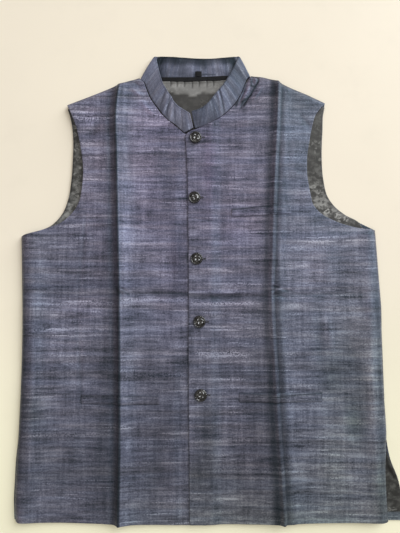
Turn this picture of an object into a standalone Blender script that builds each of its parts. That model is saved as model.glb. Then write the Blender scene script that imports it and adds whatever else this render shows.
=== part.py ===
"""Sleeveless jacket with a standing band collar, buttoned and laid flat, face up.

The tables give places in millimetres as (x, y): x from the centre of the body towards
the wearer's left, y from the waist crease towards the collar, and z up from the floor.
"""
import math

import bmesh
import bpy
import numpy as np

MM = 0.001

# Middle of the whole outline, which becomes the origin
MIDDLE_X = 13.2
MIDDLE_Y = -23.0

# Walls and seams
BACK_WALL = 1.5
LINING_WALL = 1.0
FRONT_WALL = 2.0
COLLAR_WALL = 2.2
WELT_WALL = 1.4
TAPE_WALL = 0.8
SEAM_GAP = 0.3

# Heights of the undersides
LINING_Z = BACK_WALL + SEAM_GAP
FRONT_Z = LINING_Z + LINING_WALL + SEAM_GAP
OVERLAP_RISE = FRONT_WALL + 0.45
LOFT = 1.3
SHOULDER_EASE = 0.35

# The lap of the fronts
UNDER_EDGE_X = 11.0
LAP_FLAT_X = 14.0
LAP_END_X = 34.0

# Packing folds: y, x of the crest, height of the crest
RIGHT_RIDGE = [
    (-384, -117.8, 9.0),
    (-300, -117.5, 6.0),
    (-170, -120.8, 6.0),
    (-50, -124.0, 6.5),
    (100, -129.3, 6.0),
    (180, -132.0, 5.5),
    (245, -134.0, 5.5),
    (290, -129.0, 6.0),
]
LEFT_RIDGE = [
    (-384, 119.3, 8.5),
    (-285, 118.4, 7.0),
    (-190, 117.5, 6.5),
    (-110, 113.8, 6.5),
    (-50, 110.8, 6.0),
    (25, 114.4, 6.5),
    (100, 117.7, 7.0),
    (180, 121.6, 7.0),
    (260, 124.1, 8.0),
    (295, 123.4, 8.5),
]
# How fast each flank falls, towards the wearer's right and left
RIGHT_FLANKS = (13.0, 17.0)
LEFT_FLANKS = (24.0, 26.0)
RIDGE_STEPS = (-22.0, -10.0, -4.0, 0.0, 4.0, 10.0, 22.0)
SHOULDER_FADE = 75.0
BOWED_ROWS = 6.0

# Crosswise fold at the waist: x, y
WAIST_FOLD = [(-280, -42), (-122, -44), (-18, -45), (61, -48), (112, -41), (199, -38), (280, -42)]
WAIST_FOLD_DEPTH = 1.0
WAIST_FOLD_REACH = 9.0

# Rolled side edges: height and distance of the roll from the seam
SIDE_ROLL = 4.2
SIDE_ROLL_AT = 13.0

# Right front: side and inner point of each row, from the hem to the shoulder
RIGHT_FRONT_ROWS = [
    ("hem", (-272.5, -377.2), (11.0, -382.6)),
    ("hem turn", (-274.0, -350.0), (11.0, -355.0)),
    ("vent", (-273.5, -300.0), (11.0, -303.0)),
    ("vent top", (-271.5, -250.0), (11.0, -253.0)),
    ("hip welt bottom", (-270.6, -204.0), (11.0, -207.0)),
    ("hip welt top", (-270.4, -191.6), (11.0, -198.6)),
    ("hip", (-270.0, -150.0), (11.0, -154.0)),
    ("under waist", (-270.5, -105.0), (11.0, -107.0)),
    ("fold out", (-271.5, -66.0), (11.0, -67.0)),
    ("fold low", (-272.0, -51.0), (11.0, -54.0)),
    ("fold", (-272.0, -42.5), (11.0, -45.5)),
    ("fold high", (-272.4, -34.0), (11.0, -36.5)),
    ("fold in", (-272.8, -20.0), (11.0, -20.0)),
    ("rib", (-274.5, 12.0), (11.0, 10.0)),
    ("underarm", (-276.0, 45.5), (11.0, 38.0)),
    ("armhole 1", (-239.0, 57.4), (11.0, 56.0)),
    ("armhole 2", (-214.7, 67.6), (11.0, 74.0)),
    ("armhole 3", (-196.0, 85.0), (11.0, 95.0)),
    ("armhole 4", (-187.0, 102.5), (11.0, 120.0)),
    ("armhole 5", (-184.0, 120.0), (11.0, 147.0)),
    ("armhole 6", (-182.6, 137.0), (11.0, 175.0)),
    ("front top", (-182.4, 150.0), (11.0, 200.0)),
    ("neck 1", (-183.2, 160.0), (-23.4, 208.6)),
    ("neck 2", (-184.6, 171.0), (-40.0, 222.7)),
    ("neck 3", (-186.6, 184.0), (-60.2, 241.2)),
    ("neck 4", (-189.6, 200.0), (-70.5, 255.6)),
    ("neck 5", (-194.6, 220.0), (-78.2, 267.4)),
    ("neck 6", (-199.6, 233.5), (-84.8, 283.0)),
    ("neck 7", (-205.0, 246.0), (-89.0, 294.6)),
    ("shoulder", (-210.4, 256.1), (-96.2, 300.4)),
]

# Left front: inner and side point of each row
LEFT_FRONT_ROWS = [
    ("hem", (277.0, -377.4), (-15.2, -381.4)),
    ("hem turn", (275.4, -350.0), (-15.6, -355.0)),
    ("vent", (274.8, -300.0), (-16.0, -303.0)),
    ("vent top", (279.0, -252.0), (-16.6, -253.0)),
    ("hip welt bottom", (277.5, -202.6), (-17.1, -203.6)),
    ("hip welt top", (277.2, -191.0), (-17.1, -191.0)),
    ("hip", (276.5, -150.0), (-17.3, -150.0)),
    ("under waist", (276.6, -105.0), (-17.5, -105.0)),
    ("fold out", (277.2, -64.0), (-17.5, -68.0)),
    ("fold low", (276.6, -50.0), (-17.6, -54.0)),
    ("fold", (276.2, -41.7), (-17.6, -45.5)),
    ("fold high", (275.8, -33.0), (-17.6, -37.0)),
    ("fold in", (274.9, -18.0), (-17.7, -20.0)),
    ("rib", (273.4, 14.0), (-17.8, 14.0)),
    ("underarm", (271.2, 55.0), (-18.2, 44.0)),
    ("armhole 1", (238.0, 60.0), (-18.4, 54.0)),
    ("armhole 2", (208.3, 69.8), (-18.5, 64.0)),
    ("chest welt bottom", (186.2, 82.9), (-18.6, 74.2)),
    ("chest welt top", (175.6, 95.5), (-18.7, 85.5)),
    ("armhole 3", (171.6, 112.0), (-19.0, 112.0)),
    ("armhole 4", (168.6, 128.0), (-19.8, 140.0)),
    ("armhole 5", (167.0, 143.0), (-20.8, 167.0)),
    ("armhole 6", (166.8, 155.0), (-22.0, 192.0)),
    ("front top", (167.0, 165.0), (-22.6, 206.0)),
    ("corner", (167.4, 172.0), (-17.0, 211.4)),
    ("neck 1", (168.6, 181.0), (-4.0, 216.4)),
    ("neck 2", (170.8, 193.0), (14.6, 225.5)),
    ("neck 3", (173.4, 208.0), (34.9, 238.0)),
    ("neck 4", (177.0, 223.0), (46.3, 248.4)),
    ("neck 5", (181.4, 237.5), (56.6, 260.2)),
    ("neck 6", (187.0, 246.0), (65.6, 275.8)),
    ("neck 7", (192.6, 252.6), (72.4, 292.0)),
    ("shoulder", (198.2, 258.6), (80.6, 303.0)),
]

# Back: right and left point of each row, and its share of the shoulders' rise
BACK_ROWS = [
    ("hem", (-275.4, -376.0), (304.4, -377.0), 0.0),
    ("hem turn", (-276.9, -347.0), (300.9, -347.0), 0.0),
    ("vent", (-276.3, -318.0), (295.4, -318.0), 0.0),
    ("vent flare", (-275.6, -290.0), (285.2, -290.0), 0.0),
    ("vent top", (-273.4, -262.0), (280.4, -262.0), 0.0),
    ("hip", (-271.9, -190.0), (279.0, -190.0), 0.0),
    ("under waist", (-272.0, -105.0), (278.2, -105.0), 0.0),
    ("waist", (-274.0, -40.0), (277.2, -40.0), 0.0),
    ("rib", (-276.0, 5.0), (275.2, 5.0), 0.0),
    ("underarm", (-278.0, 46.4), (272.6, 55.9), 0.0),
    ("armhole 1", (-251.8, 53.3), (248.0, 68.2), 0.03),
    ("armhole 2", (-232.0, 63.6), (227.0, 80.2), 0.06),
    ("armhole 3", (-215.2, 82.3), (209.2, 95.6), 0.12),
    ("armhole 4", (-206.8, 104.0), (200.0, 110.0), 0.2),
    ("armhole 5", (-202.2, 135.8), (194.0, 135.8), 0.33),
    ("armhole 6", (-200.7, 167.9), (192.2, 167.9), 0.5),
    ("armhole 7", (-200.6, 193.0), (192.9, 193.0), 0.65),
    ("armhole 8", (-202.4, 216.4), (194.4, 216.4), 0.8),
    ("armhole 9", (-206.7, 239.2), (195.5, 239.2), 0.93),
    ("shoulder", (-210.6, 256.4), (198.4, 258.8), 1.0),
]
# Rise of the shoulders and back neck over the line between the shoulder tips: x, rise
SHOULDER_RISE = [
    (-210.6, 0.0),
    (-96.2, 43.4),
    (-89.5, 40.2),
    (-80.0, 40.0),
    (-6.0, 40.0),
    (68.0, 43.2),
    (76.0, 43.8),
    (80.6, 45.6),
    (100.0, 41.8),
    (118.0, 36.2),
    (129.0, 30.6),
    (146.2, 23.2),
    (167.9, 14.6),
    (189.8, 4.4),
    (198.4, 0.0),
]
BACK_NECK_STEPS = (-96.2, -89.5, -80.0, -43.0, -6.0, 31.0, 68.0, 76.0, 80.6)

# How far the lining stops inside the back
LINING_SIDE = 7.0
LINING_UNDERARM = 14.0
LINING_ARMHOLE = 2.0
LINING_SHOULDER = 6.5
LINING_HEM = 13.0
LINING_FLARE = 4.0

# Collar: seam (x, y, z) and top edge (x, y, z) of each ruling, at the middle of the wall
COLLAR_ROWS = [
    ("right end", (-11.6, 217.8, 9.6), (-16.6, 235.2, 19.5)),
    ("lap side", (-18.0, 214.2, 9.2), (-21.4, 238.6, 19.0)),
    ("lap corner", (-24.4, 211.4, 7.0), (-26.6, 241.9, 18.5)),
    ("right 1", (-38.4, 224.8, 5.9), (-34.0, 247.4, 17.5)),
    ("right 2", (-48.5, 232.0, 5.8), (-40.2, 254.0, 16.5)),
    ("right 3", (-58.6, 242.9, 5.8), (-45.4, 263.6, 15.5)),
    ("right 4", (-69.1, 256.8, 5.8), (-53.3, 276.5, 14.0)),
    ("right 5", (-76.8, 268.3, 5.8), (-58.9, 287.0, 12.5)),
    ("right 6", (-83.3, 283.7, 5.8), (-64.2, 304.0, 10.5)),
    ("right 7", (-86.9, 293.0, 5.9), (-67.6, 317.5, 8.8)),
    ("back 1", (-60.0, 299.3, 1.1), (-50.0, 336.6, 1.1)),
    ("back 2", (-6.0, 299.3, 1.1), (-3.2, 335.0, 1.1)),
    ("back 3", (48.0, 301.6, 1.1), (42.0, 335.6, 1.1)),
    ("left 7", (73.2, 298.0, 6.0), (57.8, 323.6, 8.8)),
    ("left 6", (69.9, 289.5, 6.0), (51.6, 311.0, 10.5)),
    ("left 5", (64.8, 276.3, 6.0), (44.6, 297.0, 12.5)),
    ("left 4", (55.8, 260.8, 6.0), (37.4, 285.0, 14.0)),
    ("left 3", (45.6, 249.1, 6.1), (29.0, 274.2, 15.5)),
    ("left 2", (34.3, 238.9, 6.5), (20.2, 262.6, 16.5)),
    ("left 1", (14.1, 226.4, 7.9), (10.2, 250.2, 18.0)),
    ("lap", (1.4, 220.0, 8.9), (1.5, 243.4, 19.0)),
    ("left end", (-7.2, 217.3, 9.4), (-12.2, 238.4, 19.5)),
]
# Outer line of the folds where the band turns over at the shoulders
RIGHT_TURN = ((-93.5, 300.2), (-73.6, 335.6))
LEFT_TURN = ((77.9, 306.0), (64.0, 335.6))
TURN_RADIUS = 2.4
BAND_STEPS = 4

# Welts: which rows of the front, and where they start and end
RIGHT_HIP_WELT = ("hip welt bottom", "hip welt top", -178.0, -61.0)
LEFT_HIP_WELT = ("hip welt bottom", "hip welt top", 59.5, 182.0)
CHEST_WELT = ("chest welt bottom", "chest welt top", 49.5, 139.7)

# Buttons: x, y
BUTTONS = [(-6.9, 201.8), (-8.5, 106.6), (-5.2, 11.4), (-0.9, -84.3), (1.2, -193.5)]
BUTTON_RADIUS = 9.7
# Button: share of the radius, height, from the crown to the underside
BUTTON_PROFILE = [
    (0.0, 3.4),
    (0.42, 3.1),
    (0.68, 2.4),
    (0.8, 3.2),
    (0.93, 3.2),
    (1.0, 2.1),
    (0.93, 0.7),
    (0.6, 0.0),
]
BUTTON_SIDES = 24

# Neck tape and hang tab
TAPE_RIGHT_X = -66.0
TAPE_LEFT_X = 52.0
TAPE_BELOW = 1.4
TAPE_ABOVE = 5.0
TAB_X = (-7.6, 2.6)
TAB_Y = (303.1, 312.3)


def along(table, value, column):
    """Read a column of a table at a value of its first column, in straight steps."""
    rows = sorted(table)
    return np.interp(value, [row[0] for row in rows], [row[column] for row in rows])


def ridge(x, y, table, flanks):
    """Height of one packing fold: h exp(-r / w), with the crest eased over 1.5 mm."""
    away = x - along(table, y, 1)
    wide = np.where(away < 0.0, flanks[0], flanks[1])
    eased = np.sqrt(away * away + 2.25) - 1.5
    return along(table, y, 2) * np.exp(-eased / wide)


def ridges(x, y):
    """Both packing folds together."""
    return ridge(x, y, RIGHT_RIDGE, RIGHT_FLANKS) + ridge(x, y, LEFT_RIDGE, LEFT_FLANKS)


def shoulder_y(x):
    """The y of the shoulder and back neck line."""
    base = np.interp(x, (-210.6, 198.4), (256.4, 258.8))
    return base + along(SHOULDER_RISE, x, 1)


def lift(x, y):
    """How far the packing folds lift the back: in full at the shoulders, nothing lower down."""
    near = np.clip(1.0 - (shoulder_y(x) - y) / SHOULDER_FADE, 0.0, 1.0)
    seam = np.clip((np.abs(x + 7.8) - 86.0) / 16.0, 0.0, 1.0)
    return ridges(x, y) * near * near * (3.0 - 2.0 * near) * seam * seam


def waist_fold(x, y):
    """Depth of the crosswise fold."""
    away = (y - along(WAIST_FOLD, x, 1)) / WAIST_FOLD_REACH
    return WAIST_FOLD_DEPTH * np.exp(-away * away)


def shoulder_bow(x, rows):
    """How far the shoulder seam bows out from the straight line of a front's last row."""
    tip, neck = rows[-1][1], rows[-1][2]
    straight = np.interp(x, *zip(*sorted((tip, neck))))
    return shoulder_y(x) - straight


def side_x(y, rows):
    """The x of a front's side seam at y."""
    seam = [(row[1][1], row[1][0]) for row in rows if row[1][1] <= 56.0]
    return along(seam, y, 1)


def ease(value):
    """Smooth step from 0 to 1."""
    value = np.clip(value, 0.0, 1.0)
    return value * value * (3.0 - 2.0 * value)


def front_height(x, y, rows, sign):
    """Underside of a front: low at the side and shoulder seams, lofted and folded between.

    z = seam level + (loft + roll) * edges + packing folds - waist fold + lap.
    """
    inside = np.abs(side_x(y, rows) - x)
    inside = np.where(y > 58.0, 60.0, inside)
    vent = ease((-268.0 - y) / 14.0) if sign > 0 else 0.0
    from_side = np.maximum(ease(inside / 6.0), vent)
    from_shoulder = ease((shoulder_y(x) - y) / 7.0)
    open_neck = 1.0 - ease((np.abs(x + 7.8) - 70.0) / 22.0)
    from_shoulder = np.maximum(from_shoulder, open_neck)
    edges = from_side * from_shoulder
    roll = SIDE_ROLL * (inside / SIDE_ROLL_AT) * np.exp(1.0 - inside / SIDE_ROLL_AT)
    roll = roll * ease((60.0 - y) / 12.0)
    flat = ease((np.abs(x + 4.0) - 16.0) / 20.0) * 0.35 + 0.65
    level = LINING_Z + (FRONT_Z - LINING_Z + LOFT * flat) * edges
    level = level + SHOULDER_EASE * (1.0 - from_shoulder)
    folds = ridges(x, y) * from_side
    folds = np.where(from_shoulder < 1.0, np.maximum(lift(x, y), ridges(x, y) * from_shoulder), folds)
    lap = 0.0
    if sign > 0:
        lap = OVERLAP_RISE * ease((LAP_END_X - x) / (LAP_END_X - LAP_FLAT_X))
    return level + roll + folds - waist_fold(x, y) * edges + lap


def grid_normals(points):
    """Unit normals of a grid of points, facing up."""
    rows = np.gradient(points, axis=0)
    columns = np.gradient(points, axis=1)
    normals = np.cross(columns, rows)
    normals = normals / np.linalg.norm(normals, axis=2, keepdims=True)
    return np.where(normals[..., 2:3] < 0.0, -normals, normals)


def front_columns(outer, inner, crest):
    """The x of each column of one row, close together at the side and at the crest."""
    inward = 1.0 if inner > outer else -1.0
    fold = [crest + step * inward for step in RIDGE_STEPS]
    edge = [outer + (fold[0] - outer) * part for part in (0.0, 0.025, 0.07, 0.16, 0.34, 0.64)]
    rest = [fold[-1] + (inner - fold[-1]) * part for part in (0.2, 0.42, 0.62, 0.76, 0.9, 1.0)]
    return np.array(edge + fold + rest)


def front_points(rows, table, sign):
    """Underside points of a front, a ruled grid from the side to the inner edge."""
    grid = []
    for number, (name, outer, inner) in enumerate(rows):
        share_of_bow = max(0.0, 1.0 - (len(rows) - 1 - number) / BOWED_ROWS)
        middle_y = 0.5 * (outer[1] + inner[1])
        crest = float(along(table, middle_y, 1))
        columns = front_columns(outer[0], inner[0], crest)
        share = (columns - outer[0]) / (inner[0] - outer[0])
        y = outer[1] + (inner[1] - outer[1]) * share
        y = y + shoulder_bow(columns, rows) * share_of_bow
        z = front_height(columns, y, rows, sign)
        grid.append(np.stack([columns, y, z], axis=1))
    return np.array(grid)


def back_columns(right, left, y):
    """The x of each column of one row of the back or its lining."""
    crest_right = float(along(RIGHT_RIDGE, y, 1))
    crest_left = float(along(LEFT_RIDGE, y, 1))
    first = crest_right + RIDGE_STEPS[0]
    last = crest_left + RIDGE_STEPS[-1]
    columns = [right, right + (first - right) * 0.5]
    columns += [crest_right + step for step in RIDGE_STEPS]
    columns += list(BACK_NECK_STEPS)
    columns += [crest_left + step for step in RIDGE_STEPS]
    columns += [left + (last - left) * 0.5, left]
    return np.array(columns)


def back_points(rows, base_z, drop):
    """Underside points of the back or its lining, the shoulders rising in the upper rows."""
    grid = []
    for name, right, left, share in rows:
        middle_y = 0.5 * (right[1] + left[1]) + 40.0 * share
        columns = back_columns(right[0], left[0], middle_y)
        y = np.interp(columns, (right[0], left[0]), (right[1], left[1]))
        y = y + along(SHOULDER_RISE, columns, 1) * share
        y = y - drop * ease((share - 0.8) / 0.2) * ease((90.0 - np.abs(columns + 7.8)) / 6.0)
        z = base_z + lift(columns, y)
        grid.append(np.stack([columns, y, z], axis=1))
    return np.array(grid)


def place(points):
    """Bring table places to the origin and to metres."""
    moved = np.array(points, dtype=float)
    moved[..., 0] -= MIDDLE_X
    moved[..., 1] -= MIDDLE_Y
    return moved * MM


def slab(name, low, high, collection, material):
    """A closed wall between two grids of points, with a rim all round."""
    count_rows, count_columns = low.shape[:2]
    mesh = bmesh.new()
    layers = []
    for grid in (place(low), place(high)):
        layers.append([[mesh.verts.new(point) for point in row] for row in grid])
    below, above = layers
    for i in range(count_rows - 1):
        for j in range(count_columns - 1):
            mesh.faces.new((above[i][j], above[i][j + 1], above[i + 1][j + 1], above[i + 1][j]))
            mesh.faces.new((below[i][j], below[i + 1][j], below[i + 1][j + 1], below[i][j + 1]))
    rim = [(0, j) for j in range(count_columns)]
    rim += [(i, count_columns - 1) for i in range(1, count_rows)]
    rim += [(count_rows - 1, j) for j in range(count_columns - 2, -1, -1)]
    rim += [(i, 0) for i in range(count_rows - 2, 0, -1)]
    for k, (i, j) in enumerate(rim):
        m, n = rim[(k + 1) % len(rim)]
        mesh.faces.new((below[i][j], below[m][n], above[m][n], above[i][j]))
    bmesh.ops.recalc_face_normals(mesh, faces=mesh.faces)
    bmesh.ops.triangulate(mesh, faces=mesh.faces, quad_method="SHORT_EDGE")
    return finish(name, mesh, collection, material)


def finish(name, mesh, collection, material):
    """Put a bmesh into a named object with its material."""
    data = bpy.data.meshes.new(name)
    mesh.to_mesh(data)
    mesh.free()
    data.materials.append(material)
    made = bpy.data.objects.new(name, data)
    collection.objects.link(made)
    return made


def principled(name, colour, roughness):
    """A plain material."""
    material = bpy.data.materials.new(name)
    material.use_nodes = True
    shader = material.node_tree.nodes["Principled BSDF"]
    shader.inputs["Base Color"].default_value = (*colour, 1.0)
    shader.inputs["Roughness"].default_value = roughness
    material.diffuse_color = (*colour, 1.0)
    return material


def build_back(collection, cloth, satin):
    """The back, flat on the floor, and its lining 0.3 mm over it."""
    low = back_points(BACK_ROWS, 0.0, 0.0)
    high = low + np.array([0.0, 0.0, BACK_WALL])
    slab("back", low, high, collection, cloth)

    rows = []
    for name, right, left, share in BACK_ROWS:
        inset = LINING_ARMHOLE if right[1] > 50.0 else LINING_SIDE
        open_inset = LINING_FLARE if left[1] < -280.0 else inset
        rise = LINING_HEM if name == "hem" else 0.0
        if name == "underarm":
            inset = open_inset = LINING_UNDERARM
            rise = 0.6 - 0.6 * LINING_UNDERARM
        fall = LINING_SHOULDER if name == "shoulder" else 0.0
        lower = 0.45 * LINING_SHOULDER if name == "armhole 9" else 0.0
        low_right = (right[0] + inset, right[1] + rise - fall - lower)
        low_left = (left[0] - open_inset, left[1] + rise - fall - lower)
        rows.append((name, low_right, low_left, share))
    low = back_points(rows, LINING_Z, -LINING_SHOULDER + 1.6)
    high = low + np.array([0.0, 0.0, LINING_WALL])
    slab("back_lining", low, high, collection, satin)


def build_front(name, rows, table, sign, collection, cloth):
    """One front, its wall laid on the outward side of its underside points."""
    low = front_points(rows, table, sign)
    high = low + grid_normals(low) * FRONT_WALL
    slab(name, low, high, collection, cloth)
    return low


def build_welt(name, low, rows, welt, collection, cloth):
    """A pocket welt made from the front's own points between two rows, moved out."""
    bottom_row, top_row, start, end = welt
    names = [row[0] for row in rows]
    normals = grid_normals(low)
    strips = []
    shared = None
    for row_name in (bottom_row, top_row):
        i = names.index(row_name)
        inside = (low[i, :, 0] > start + 2.0) & (low[i, :, 0] < end - 2.0)
        shared = inside if shared is None else shared & inside
    for row_name in (bottom_row, top_row):
        i = names.index(row_name)
        order = np.argsort(low[i, :, 0])
        base = low[i, order]
        up = normals[i, order]
        at = [start] + [x for x, keep in zip(base[:, 0], shared[order]) if keep] + [end]
        points = np.stack([np.interp(at, base[:, 0], base[:, k]) for k in range(3)], axis=1)
        facing = np.stack([np.interp(at, base[:, 0], up[:, k]) for k in range(3)], axis=1)
        strips.append((points, facing))
    points = np.array([strip[0] for strip in strips])
    facing = np.array([strip[1] for strip in strips])
    under = points + facing * (FRONT_WALL + SEAM_GAP)
    slab(name, under, under + facing * WELT_WALL, collection, cloth)


def turn_rulings(line, side, from_front):
    """Rulings of the half turn where the band folds over at a shoulder."""
    start = np.array(line[0])
    end = np.array(line[1])
    direction = (end - start) / np.linalg.norm(end - start)
    outward = np.array([-direction[1], direction[0]]) * side
    centre = -(TURN_RADIUS + 0.5 * COLLAR_WALL) * outward
    angles = [90.0, 126.0, 162.0, 198.0, 234.0, 270.0]
    if not from_front:
        angles = angles[::-1]
    made = []
    for angle in angles:
        turn = math.radians(angle)
        out = -TURN_RADIUS * math.cos(turn) * outward
        z = 0.5 * COLLAR_WALL + TURN_RADIUS + TURN_RADIUS * math.sin(turn)
        low = start + centre + out
        high = end + centre + out - direction * 1.2
        made.append(((low[0], low[1], z), (high[0], high[1], z)))
    return made


def build_collar(collection, cloth):
    """The band: rulings from the neck seam to the top edge, turned over at the shoulders."""
    rulings = []
    for name, seam, top in COLLAR_ROWS:
        if name == "back 1":
            rulings += turn_rulings(RIGHT_TURN, 1.0, True)
        rulings.append((seam, top))
        if name == "back 3":
            rulings += turn_rulings(LEFT_TURN, -1.0, False)
    seam = np.array([ruling[0] for ruling in rulings])
    top = np.array([ruling[1] for ruling in rulings])
    steps = np.linspace(0.0, 1.0, BAND_STEPS + 1)
    middle = np.array([seam + (top - seam) * step for step in steps])
    rows = np.gradient(middle, axis=0)
    columns = np.gradient(middle, axis=1)
    normals = np.cross(columns, rows)
    normals = normals / np.linalg.norm(normals, axis=2, keepdims=True)
    low = middle - normals * COLLAR_WALL * 0.5
    high = middle + normals * COLLAR_WALL * 0.5
    slab("collar", low, high, collection, cloth)


def build_tape(collection, ribbon):
    """Neck tape over the back neck seam, and the hang tab on the collar above it."""
    x = np.linspace(TAPE_RIGHT_X, TAPE_LEFT_X, 9)
    neck = shoulder_y(x)
    z = LINING_Z + LINING_WALL + SEAM_GAP
    low = np.array([
        np.stack([x, neck - TAPE_BELOW, np.full(9, z)], axis=1),
        np.stack([x, neck + TAPE_ABOVE, np.full(9, z)], axis=1),
    ])
    slab("neck_tape", low, low + np.array([0.0, 0.0, TAPE_WALL]), collection, ribbon)

    z = COLLAR_WALL + SEAM_GAP
    low = np.array([[(x, y, z) for x in TAB_X] for y in TAB_Y])
    slab("hang_tab", low, low + np.array([0.0, 0.0, 1.0]), collection, ribbon)


def build_buttons(collection, plastic):
    """Domed buttons with a raised rim, each a turned profile 0.3 mm over the placket."""
    for number, (x, y) in enumerate(BUTTONS, start=1):
        seat = float(front_height(np.array([x]), np.array([y]), LEFT_FRONT_ROWS, 1)[0])
        base = place((x, y, seat + FRONT_WALL + SEAM_GAP + 0.1))
        mesh = bmesh.new()
        rings = []
        for share, height in BUTTON_PROFILE[1:]:
            ring = []
            for k in range(BUTTON_SIDES):
                turn = 2.0 * math.pi * k / BUTTON_SIDES
                out = share * BUTTON_RADIUS * MM
                across = (out * math.cos(turn), out * math.sin(turn), height * MM)
                ring.append(mesh.verts.new(base + across))
            rings.append(ring)
        crown = mesh.verts.new((base[0], base[1], base[2] + BUTTON_PROFILE[0][1] * MM))
        for k in range(BUTTON_SIDES):
            after = (k + 1) % BUTTON_SIDES
            mesh.faces.new((crown, rings[0][k], rings[0][after]))
            for inner, outer in zip(rings[:-1], rings[1:]):
                mesh.faces.new((inner[k], outer[k], outer[after], inner[after]))
        mesh.faces.new(rings[-1][::-1])
        bmesh.ops.recalc_face_normals(mesh, faces=mesh.faces)
        bmesh.ops.triangulate(mesh, faces=mesh.faces)
        finish("button_%d" % number, mesh, collection, plastic)


def main():
    """Clear the scene and build the jacket."""
    for made in list(bpy.data.objects):
        bpy.data.objects.remove(made, do_unlink=True)
    collection = bpy.data.collections.new("band_collar_jacket")
    bpy.context.scene.collection.children.link(collection)

    cloth = principled("slub_cloth", (0.13, 0.125, 0.17), 0.7)
    satin = principled("figured_satin", (0.08, 0.08, 0.082), 0.4)
    ribbon = principled("black_tape", (0.012, 0.012, 0.014), 0.6)
    plastic = principled("black_button", (0.01, 0.01, 0.011), 0.2)

    build_back(collection, cloth, satin)
    right = build_front("front_right", RIGHT_FRONT_ROWS, RIGHT_RIDGE, -1, collection, cloth)
    left = build_front("front_left", LEFT_FRONT_ROWS, LEFT_RIDGE, 1, collection, cloth)
    build_collar(collection, cloth)
    build_welt("hip_welt_right", right, RIGHT_FRONT_ROWS, RIGHT_HIP_WELT, collection, cloth)
    build_welt("hip_welt_left", left, LEFT_FRONT_ROWS, LEFT_HIP_WELT, collection, cloth)
    build_welt("chest_welt", left, LEFT_FRONT_ROWS, CHEST_WELT, collection, cloth)
    build_tape(collection, ribbon)
    build_buttons(collection, plastic)


main()
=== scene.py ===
"""Sleeveless jacket with a standing band collar, buttoned and laid flat, face up.

Tables give places in millimetres: x from the middle of the body towards the wearer's left,
y from the waist fold towards the collar, z up from the floor.
"""

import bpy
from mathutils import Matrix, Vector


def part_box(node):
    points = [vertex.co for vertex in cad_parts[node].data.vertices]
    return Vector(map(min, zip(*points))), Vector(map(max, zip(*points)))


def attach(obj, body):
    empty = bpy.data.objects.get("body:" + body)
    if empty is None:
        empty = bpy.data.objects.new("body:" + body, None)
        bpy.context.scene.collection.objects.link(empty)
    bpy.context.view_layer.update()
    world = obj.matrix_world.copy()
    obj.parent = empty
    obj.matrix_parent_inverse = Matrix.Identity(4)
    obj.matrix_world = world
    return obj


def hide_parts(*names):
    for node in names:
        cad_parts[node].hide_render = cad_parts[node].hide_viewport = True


bl_info = {
    "name": "Band collar jacket",
    "version": (1, 0, 0),
    "blender": (4, 5, 0),
    "location": "3D View > Sidebar > Jacket",
    "description": "Makes the slub cloth, satin lining, buttons, trims and stage of a jacket laid flat",
    "category": "Add Mesh",
}

import math

import bmesh
import bpy
import numpy as np
from mathutils import Vector

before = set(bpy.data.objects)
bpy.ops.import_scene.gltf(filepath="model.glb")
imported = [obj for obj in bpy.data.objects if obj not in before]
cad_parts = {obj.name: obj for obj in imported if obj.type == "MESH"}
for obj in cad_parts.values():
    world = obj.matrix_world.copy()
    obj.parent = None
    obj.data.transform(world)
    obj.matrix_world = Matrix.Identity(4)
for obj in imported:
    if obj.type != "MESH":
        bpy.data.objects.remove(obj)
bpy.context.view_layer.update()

MM = 0.001
MIDDLE_X = 13.2
MIDDLE_Y = -23.0
NECK_X = -7.8
RIGHT_NECK_POINT_X = -96.2
LEFT_NECK_POINT_X = 80.6
UNDERARM_Y = 58.0

BACK_WALL = 1.5
LINING_WALL = 1.0
FRONT_WALL = 2.0
COLLAR_WALL = 2.2
WELT_WALL = 0.84
SEAM_GAP = 0.3
LINING_Z = BACK_WALL + SEAM_GAP
FRONT_Z = LINING_Z + LINING_WALL + SEAM_GAP
OVERLAP_RISE = FRONT_WALL + 0.45
LOFT = 1.3
SHOULDER_EASE = 0.35
LAP_FLAT_X = 14.0
LAP_END_X = 34.0

# Packing folds: y, x of the crest, height of the crest
RIGHT_RIDGE = [
    (-384, -119.2, 9), (-300, -119, 6), (-170, -120.6, 6), (-50, -122.8, 6.5), (100, -127.7, 6),
    (180, -130.2, 5.5), (245, -132.2, 5.5), (290, -127.5, 6),
]
LEFT_RIDGE = [
    (-384, 123.4, 8.5), (-322, 120.8, 7), (-236, 115.9, 6.5), (-156, 112.5, 6.5), (-97, 109.6, 6.5),
    (-50, 108.4, 6), (25, 110.8, 6.5), (100, 113.6, 7), (180, 118, 7), (260, 122, 8), (295, 123, 8.5),
]
# Reach of each fold's wide fall to its right and left, then of its narrow fall
RIGHT_FLANKS = (18.0, 22.0, 2.4, 10.0)
LEFT_FLANKS = (34.0, 34.0, 2.8, 2.6)
CREST_EASE = 1.2
FOLD_REACH = 22.0
SHOULDER_FADE = 75.0
BOWED_ROWS = 6.0
WAIST_FOLD = [(-280, -42), (-122, -44), (-18, -45), (61, -48), (112, -41), (199, -38), (280, -42)]
WAIST_FOLD_DEPTH = 1.0
WAIST_FOLD_REACH = 9.0
SIDE_ROLL = 4.2
SIDE_ROLL_AT = 13.0

# Rows of the fronts, as shares of the mesh step: at the neck, at the waist fold, elsewhere
NECK_ROWS_FROM = 205.0
WAIST_ROWS = (-45.0, 30.0)
ROW_SHARES = (0.62, 0.7, 1.22)
# Steps between columns: side to fold, across the fold, fold to front edge
FRONT_COLUMNS = (46, 26, 50)
# How far each front's UVs lie from the back's, and the band's and the welts' from the fronts'
FRONT_UV_SHIFT = 700.0
BAND_UV_SHIFT = 2000.0
WELT_UV_SHIFT = 1100.0

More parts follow.
